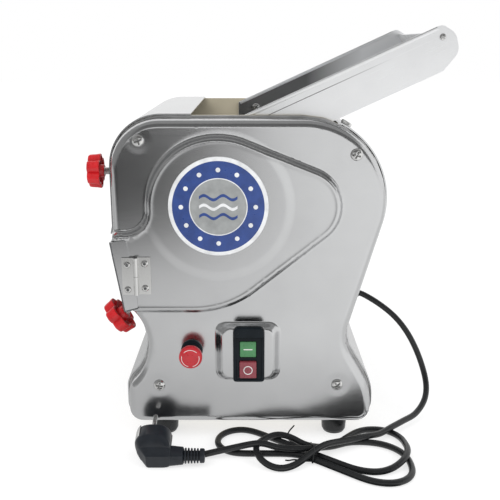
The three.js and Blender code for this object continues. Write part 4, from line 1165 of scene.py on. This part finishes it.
def make_tray():
    side_loop = rounded(TRAY_SIDE, step=6)
    inner_loop = rounded(offset(TRAY_SIDE, -0.3), step=6)
    hole = ring(TRAY_PIVOT, 3.3, 24)
    low, high = np.array(TRAY_SIDE[5][:2]), np.array(TRAY_SIDE[4][:2])
    along = unit(high - low)
    down = np.array([along[1], -along[0]])
    foot, head = low + along * 1.5, low + along * (np.linalg.norm(high - low) - 5.5)
    crease = [foot + down * CREASE_DROP, head + down * CREASE_DROP]
    crease += [point + down * CREASE_WIDTH for point in crease[::-1]]
    turns = np.radians(np.arange(0, 360, 15))
    # the tray's walls, hems and floor are in its brighter steel: painted light
    for word, side in SIDES:
        plate(f"tray_wall_{word}", [side_loop, hole], flat_wall(side * TRAY_HALF), "stainless_tray_lit", "tray",
              flip=side > 0, stands_for=["feed_tray"] if side < 0 else (), slot="stainless")
        # a thin dark strip along the crease under the hem: painted shade of the fold
        plate(f"tray_crease_shade_{word}", [crease], flat_wall(side * (TRAY_HALF + 0.12)), "shaded_steel",
              "tray", thickness=0.1, flip=side > 0, slot="stainless")
        # the folded hem along the wall's top edge
        sections = []
        for point in (foot, head):
            fall = HEM_WIDTH / 2 - HEM_OVER + squared(np.sin(turns), 0.35) * HEM_WIDTH / 2
            y = side * (TRAY_HALF - SHEET / 2) + squared(np.cos(turns), 0.35) * (SHEET / 2 + HEM_PROUD)
            sections.append(np.column_stack([point[0] + down[0] * fall, y, point[1] + down[1] * fall]))
        lofted(f"tray_hem_{word}", sections, "stainless_tray_lit", "tray", slot="stainless", crease=50)
    plate("tray_inner_face", [inner_loop, hole], flat_wall(TRAY_INSIDE), "shaded_steel", "tray",
          thickness=0.15, slot="stainless")
    floor = Bent([TRAY_SIDE[0], (173.5, 390.9, 14), (187.5, 409.5, 14), (174, 429, 0)])
    floor.plate("tray_floor", TRAY_INSIDE + 0.15, "stainless_tray_lit", "tray", slot="stainless")
    # a thin pale face over the turned-up lip: painted light on the lip
    lip = Bent([(181.5, 415.1, 0), (172.6, 428, 0)])
    lip.plate("tray_lip_face", TRAY_INSIDE - 0.05, "lit_lip_grey", "tray", thickness=0.15, slot="stainless")


def make_door():
    face = -(BULGE_FACE + DOOR_GAP)
    panel = Bent([(*DOOR_TOP, 0), (*DOOR_FOOT, 0)])
    stop = panel.length * (DOOR_TOP[1] - DOOR_NARROW_BELOW) / (DOOR_TOP[1] - DOOR_FOOT[1])
    near = face - 0.3
    outline = [(0, near), (panel.length, near), (panel.length, DOOR_NARROW_EDGE), (stop, DOOR_NARROW_EDGE),
               (stop, DOOR_FAR_EDGE), (0, DOOR_FAR_EDGE)]
    plate("door_front", [outline], panel.surface, "stainless_deck", "door", flip=True,
          stands_for=["outlet_door"])
    flange = [(*DOOR_FOOT, 0.4), (-132.8, 155.7, 2), (-133.8, 169.7, 0.5), (-139.3, 209, 0.5),
              (-142.5, 227, 4), (*DOOR_TOP, 0.4)]
    plate("door_flange", [rounded(flange)], flat_wall(face - SHEET), "stainless", "door", slot="stainless")
    # the door's folded edge as a thin wire, carried on along the flange's foot; its dark colour is painted
    # shade along the fold and painted shadow under the flange
    fold = [(*(DOOR_TOP + (0.3, 0.6)), 0), (*DOOR_TOP, 0), (*DOOR_FOOT, 0), (-133.2, 155.4, 0)]
    fold = walked(rounded(fold, closed=False), 12, closed=False)
    wire("door_edge_shade_line", [(x + 0.6, face - SHEET - 0.1, z) for x, z in fold], 0.7, "cast", "door",
         slot="stainless")

    dome = [(0, 0, 0), (3.7, 0, 0.2), (3.6, -0.35, 0.3), (2.6, -1.1, 0.5), (1.5, -1.2, 0.2), (1.2, -0.4, 0),
            (0, -0.4, 0)]
    pit = [(0, -0.2, 0), (1.15, -0.2, 0), (1.15, -0.65, 0.1), (0, -0.65, 0)]
    leaf_cover = face - HINGE_LEAF
    leaf_door = leaf_cover - DOOR_GAP - SHEET
    rivets = [("door", (-142, 202), leaf_door), ("door", (-142, 176), leaf_door),
              ("frame", (-124.5, 203), leaf_cover), ("frame", (-124.5, 177), leaf_cover)]
    for k, (body, (x, z), y) in enumerate(rivets, 1):
        lathe(f"hinge_rivet_{k}", dome, (x, y, z), (0, 1, 0), "zinc", body, 28, slot="zinc")
        lathe(f"rivet_pit_{k}", pit, (x, y, z), (0, 1, 0), "cast", body, 16, slot="zinc")


# ---- knobs and studs

KNOB_LOBES = 3.9
KNOB_THICK = 13
# height behind the outer face, share of the radius and share of the lobes: face, rim, hollow, hub
KNOB_LEVELS = [
    (0.9, 0.30, 0), (0.9, 0.36, 0), (0.3, 0.40, 0), (0.1, 0.46, 0.1), (0, 0.66, 0.7), (0, 0.84, 0.95),
    (0.4, 0.92, 1), (1.3, 0.965, 1), (3, 0.98, 1), (8, 1, 1), (KNOB_THICK - 1.2, 1.03, 1),
    (KNOB_THICK - 0.4, 1.025, 1), (KNOB_THICK, 1.0, 1), (KNOB_THICK, 0.93, 1), (KNOB_THICK - 0.6, 0.88, 1),
    (8.6, 0.8, 1), (7.4, 0.7, 0.9), (7, 0.55, 0.3), (7.4, 0.42, 0), (KNOB_THICK + 2.4, 0.38, 0),
    (KNOB_THICK + 3, 0.35, 0), (KNOB_THICK + 3, 0.27, 0),
]


def star_knob(name, face, inward, body, stands_for, radius):
    """A six-lobed clamping knob, hollow behind. Its outer face is centred on face."""
    angle = full_turn(120)
    dip = np.abs(np.sin(3 * angle)) ** 1.3
    lobes = KNOB_LOBES * (1 - np.clip(1.25 * dip, 0, 1) ** 0.8)
    rows = basis(inward)
    sections = [around(rows, face, (radius - lobes * lobed) * scale, angle, height)
                for height, scale, lobed in KNOB_LEVELS]
    lofted(name, sections, "red_plastic", body, stands_for=stands_for, crease=50)


def threaded_stud(name, start, axis, length, body, stands_for):
    """An M8 stud with its real helical thread, which fades at both ends."""
    pitch, per_turn = 1.25, 6
    outer, depth = 3.95, 0.62
    rows = basis(axis)
    angle = full_turn(24)
    sections = []
    for height in np.linspace(0, length, round(length / pitch * per_turn)):
        phase = (height / pitch - angle / (2 * math.pi)) % 1
        full = min(1, 0.3 + height / pitch, 0.3 + (length - height) / pitch)
        sections.append(around(rows, start, outer - depth * np.abs(2 * phase - 1) * full, angle, height))
    lofted(name, sections, "zinc", body, stands_for=stands_for, crease=60)


def make_clamps():
    """Each knob and its stud turn together, on the two screws at the top and the two at the waist."""
    inward = np.array([1.0, 0, 0])
    out = np.array([CLAMP_OUT[0], 0, CLAMP_OUT[1]])
    for word, side in SIDES:
        gap_face = np.array([GAP_KNOB_X, side * GAP_SCREW_Y, FRONT_ROLLER[1]])
        gap_length = FRONT_ROLLER[0] - GAP_STUD_SHORT - GAP_KNOB_X - KNOB_SINK
        clamp_face = np.array([CLAMP_FOOT[0], side * CLAMP_Y, CLAMP_FOOT[1]]) + CLAMP_KNOB_OUT * out
        for kind, row, face, axis, radius, length in (
                ("gap", "upper", gap_face, inward, GAP_KNOB_RADIUS, gap_length),
                ("clamp", "lower", clamp_face, -out, CLAMP_KNOB_RADIUS, CLAMP_STUD)):
            body = f"{kind}_screw_{word}"
            star_knob(f"{kind}_knob_{word}", face, axis, body, [f"{row}_knob_{word}"], radius)
            threaded_stud(f"{kind}_stud_{word}", face + KNOB_SINK * axis, axis, length, body,
                          [f"{row}_stud_{word}"])


# ---- emergency stop, switch and label


def make_estop():
    at, out = (ESTOP[0], 0, ESTOP[1]), (0, -1, 0)
    collar = [(0, 120, 0), (7.9, 120, 0), (7.9, 150, 0), (11.4, 150, 0), (11.4, 153.2, 1), (9.2, 154.2, 0.8),
              (8.9, 156.0, 0.3), (8.2, 156.2, 0.3), (8.2, 156.8, 0.3), (8.9, 157.0, 0.3), (8.7, 158.4, 0.6),
              (4.6, 158.4, 0), (4.6, 151.5, 0), (0, 151.5, 0)]
    lathe("estop_base", collar, at, out, "black_plastic", "frame", stands_for=["estop_collar"])
    mushroom = [(0, 157, 0), (4, 157, 0), (4, 163.5, 0.3), (8.4, 163.5, 0.5), (9.2, 165.2, 1.5),
                (12, 167.3, 0.8), (12, 171.4, 1.2), (11.2, 173.6, 2.5), (6, 175, 8), (0, 175, 0)]
    lathe("estop_mushroom", mushroom, at, out, "red_cap", "estop_button", 64, stands_for=["estop_head"])
    for k, middle in enumerate((90, 210, 330), 1):
        turns = np.radians(np.linspace(middle - 46, middle + 46, 18))
        band = [ESTOP + r * np.column_stack([np.cos(turns), np.sin(turns)]) for r in (9.3, 8.2)]
        plate(f"estop_arc_{k}", [np.vstack([band[0], band[1][::-1]])], flat_wall(-174.25), "white_print",
              "estop_button", thickness=1.1)


def make_switch():
    x0, z0, x1, z1 = SWITCH
    frame_path = rectangle(x0, z0, x1, z1, 3)
    frame_loop = rounded(frame_path)
    pockets = [rounded(rectangle(a - 0.5, c - 0.5, b + 0.5, d + 0.5, 1)) for a, c, b, d in (START, STOP)]

    def bezel(p):
        depth, out = nearest(p, frame_loop)
        moved, drop = rolled(p, depth, out, 1.8)
        sunk = 1.1 * ease((depth - 2.6) / 1.2)
        return np.column_stack([moved[:, 0], -BEZEL_FACE + drop + sunk, moved[:, 1]])

    rings = [walked(rounded(offset(frame_path, -d)), 1.6)
             for d in (0.3, 0.7, 1.1, 1.5, 1.9, 2.5, 2.9, 3.3, 3.9, 4.6)]
    plate("switch_bezel", [frame_loop, *pockets], bezel, "black_plastic", "frame", np.vstack(rings),
          skirt=-(COVER_FACE + BOSS_RISE + 0.3), stands_for=["switch_housing"])
    hood = [(x0 + 0.8, z1 - 7.5, 1.5), (x1 - 0.8, z1 - 7.5, 1.5), (x1 - 0.8, z1 + 3.8, 5),
            (x0 + 0.8, z1 + 3.8, 5)]
    slab("switch_hood", hood, -169.8, -163, 1.4, "black_plastic", "frame", slot="black_plastic")
    slab("switch_floor", rectangle(x0 + 3, z0 + 5.6, x1 - 3, z1 - 5.6, 1), -149.2, -118, 0.3,
         "black_plastic", "frame", slot="black_plastic")

    for word, (a, c, b, d), face, material, edge in (("start", START, -START_FACE, "green_key", 0.6),
                                                     ("stop", STOP, -STOP_FACE, "red_key", 0.9)):
        slab(f"{word}_button_cap", rectangle(a, c, b, d, 1.2), face, -KEY_BACK, edge, material, f"{word}_key",
             stands_for=[f"{word}_button"])
        x, z = (a + b) / 2, (c + d) / 2
        mark = [ring((x, z), r, 48) for r in (4.7, 3.9)]
        if word == "start":
            mark = [rounded(rectangle(x - 4.6, z - 0.5, x + 4.6, z + 0.5, 0.3))]
        plate(f"{word}_mark", mark, flat_wall(face - 0.2), "white_print", f"{word}_key", thickness=0.4)


def make_label():
    """The round label, with a plain design of waves and dots."""
    face = -(BULGE_FACE + PLATFORM_RISE)
    centre = LABEL_CENTRE + (0, 0.3)
    disc = [(0, 0, 0), (LABEL_RADIUS, 0, 0), (LABEL_RADIUS, 1.4, 0.7), (47.4, 1.9, 1.5), (0, 1.9, 0)]
    lathe("label_disc", disc, (centre[0], face, centre[1]), (0, -1, 0), "label_white", "frame", 120)

    def printed(name, loops, material, lift=0.12):
        plate(name, loops, flat_wall(face - 1.9 - lift), material, "frame", thickness=0.1 + lift)

    printed("label_ring", [ring(centre, 45.8, 120), ring(centre, 29, 96)], "label_blue", 0.06)
    printed("label_middle", [ring(centre, 28, 96)], "label_grey", 0.06)
    x = np.linspace(-19, 19, 40)
    for k, material in enumerate(("label_blue", "label_white", "label_blue")):
        z = 2.2 * np.sin(x * 2 * math.pi / 19) + (k - 1) * 9.5
        wave = np.vstack([np.column_stack([x, z + 1.5]), np.column_stack([x, z - 1.5])[::-1]]) + centre
        printed(f"label_wave_{k + 1}", [wave], material)
    for k, dot in enumerate(ring(centre, 37, 12), 1):
        printed(f"label_dot_{k}", [ring(dot, 2.3, 24)], "label_white")


# ---- feet, gland, thumbscrew


def make_small_parts():
    foot = [(0, 0, 0), (11.6, 0, 1.2), (12.6, 2.6, 0.6), (13.2, 3.2, 0.6), (14, 16.5, 2), (13.4, 20, 1),
            (13.4, 21.7, 0), (0, 21.7, 0)]
    for word_x, x in FOOT_X:
        for word_y, side in SIDES:
            lathe(f"rubber_foot_{word_x}_{word_y}", foot, (x, side * FOOT_Y, 0), (0, 0, 1), "black_rubber",
                  "frame", stands_for=[f"foot_{word_x}_{word_y}"])
    gland = [(0, -8, 0), (6.5, -8, 0), (6.5, 0.6, 0), (8.6, 0.6, 0.3), (8.6, 3, 0.5), (7.1, 4.2, 0.6)]
    for k in range(6):
        at, reach = 5.6 + 2.4 * k, 7.0 - 0.36 * k
        gland += [(reach - 1.3, at, 0.3), (reach, at + 0.2, 0.3), (reach - 0.1, at + 1.4, 0.3),
                  (reach - 1.3, at + 1.6, 0.3)]
    gland += [(4.7, 21, 0.4), (3.5, 21.2, 0.2), (0, 21.2, 0)]
    lathe("gland_relief", gland, GLAND_ROOT, GLAND_AXIS, "black_rubber", "frame", stands_for=["cable_gland"],
          crease=30)

    def knurl(angle, radius, height):
        return 0.28 * np.cos(30 * angle) if radius > 5 and 1.4 < height < 4.2 else 0

    thumbscrew = [(0, -3, 0), (3.4, -3, 0), (3.4, 0.8, 0), (5.4, 1.0, 0.6), (5.4, 4.4, 0.8), (4.2, 4.8, 0.3),
                  (0, 4.6, 0)]
    lathe("rear_thumbscrew", thumbscrew, (78, -119.5, 337.4), (0.511, 0, 0.859), "zinc", "frame", 120,
          ripple=knurl, slot="zinc", crease=60)


make_covers()
make_screws()
make_shells()
make_tray()
make_door()
make_clamps()
make_estop()
make_switch()
make_label()
make_small_parts()

# ---- the CAD nodes that stay

for node, solid in frame["nodes"].items():
    if hasattr(solid.data, "materials"):
        solid.data.materials.clear()
        solid.data.materials.append(LOOKS[SLOT_OF[node]])
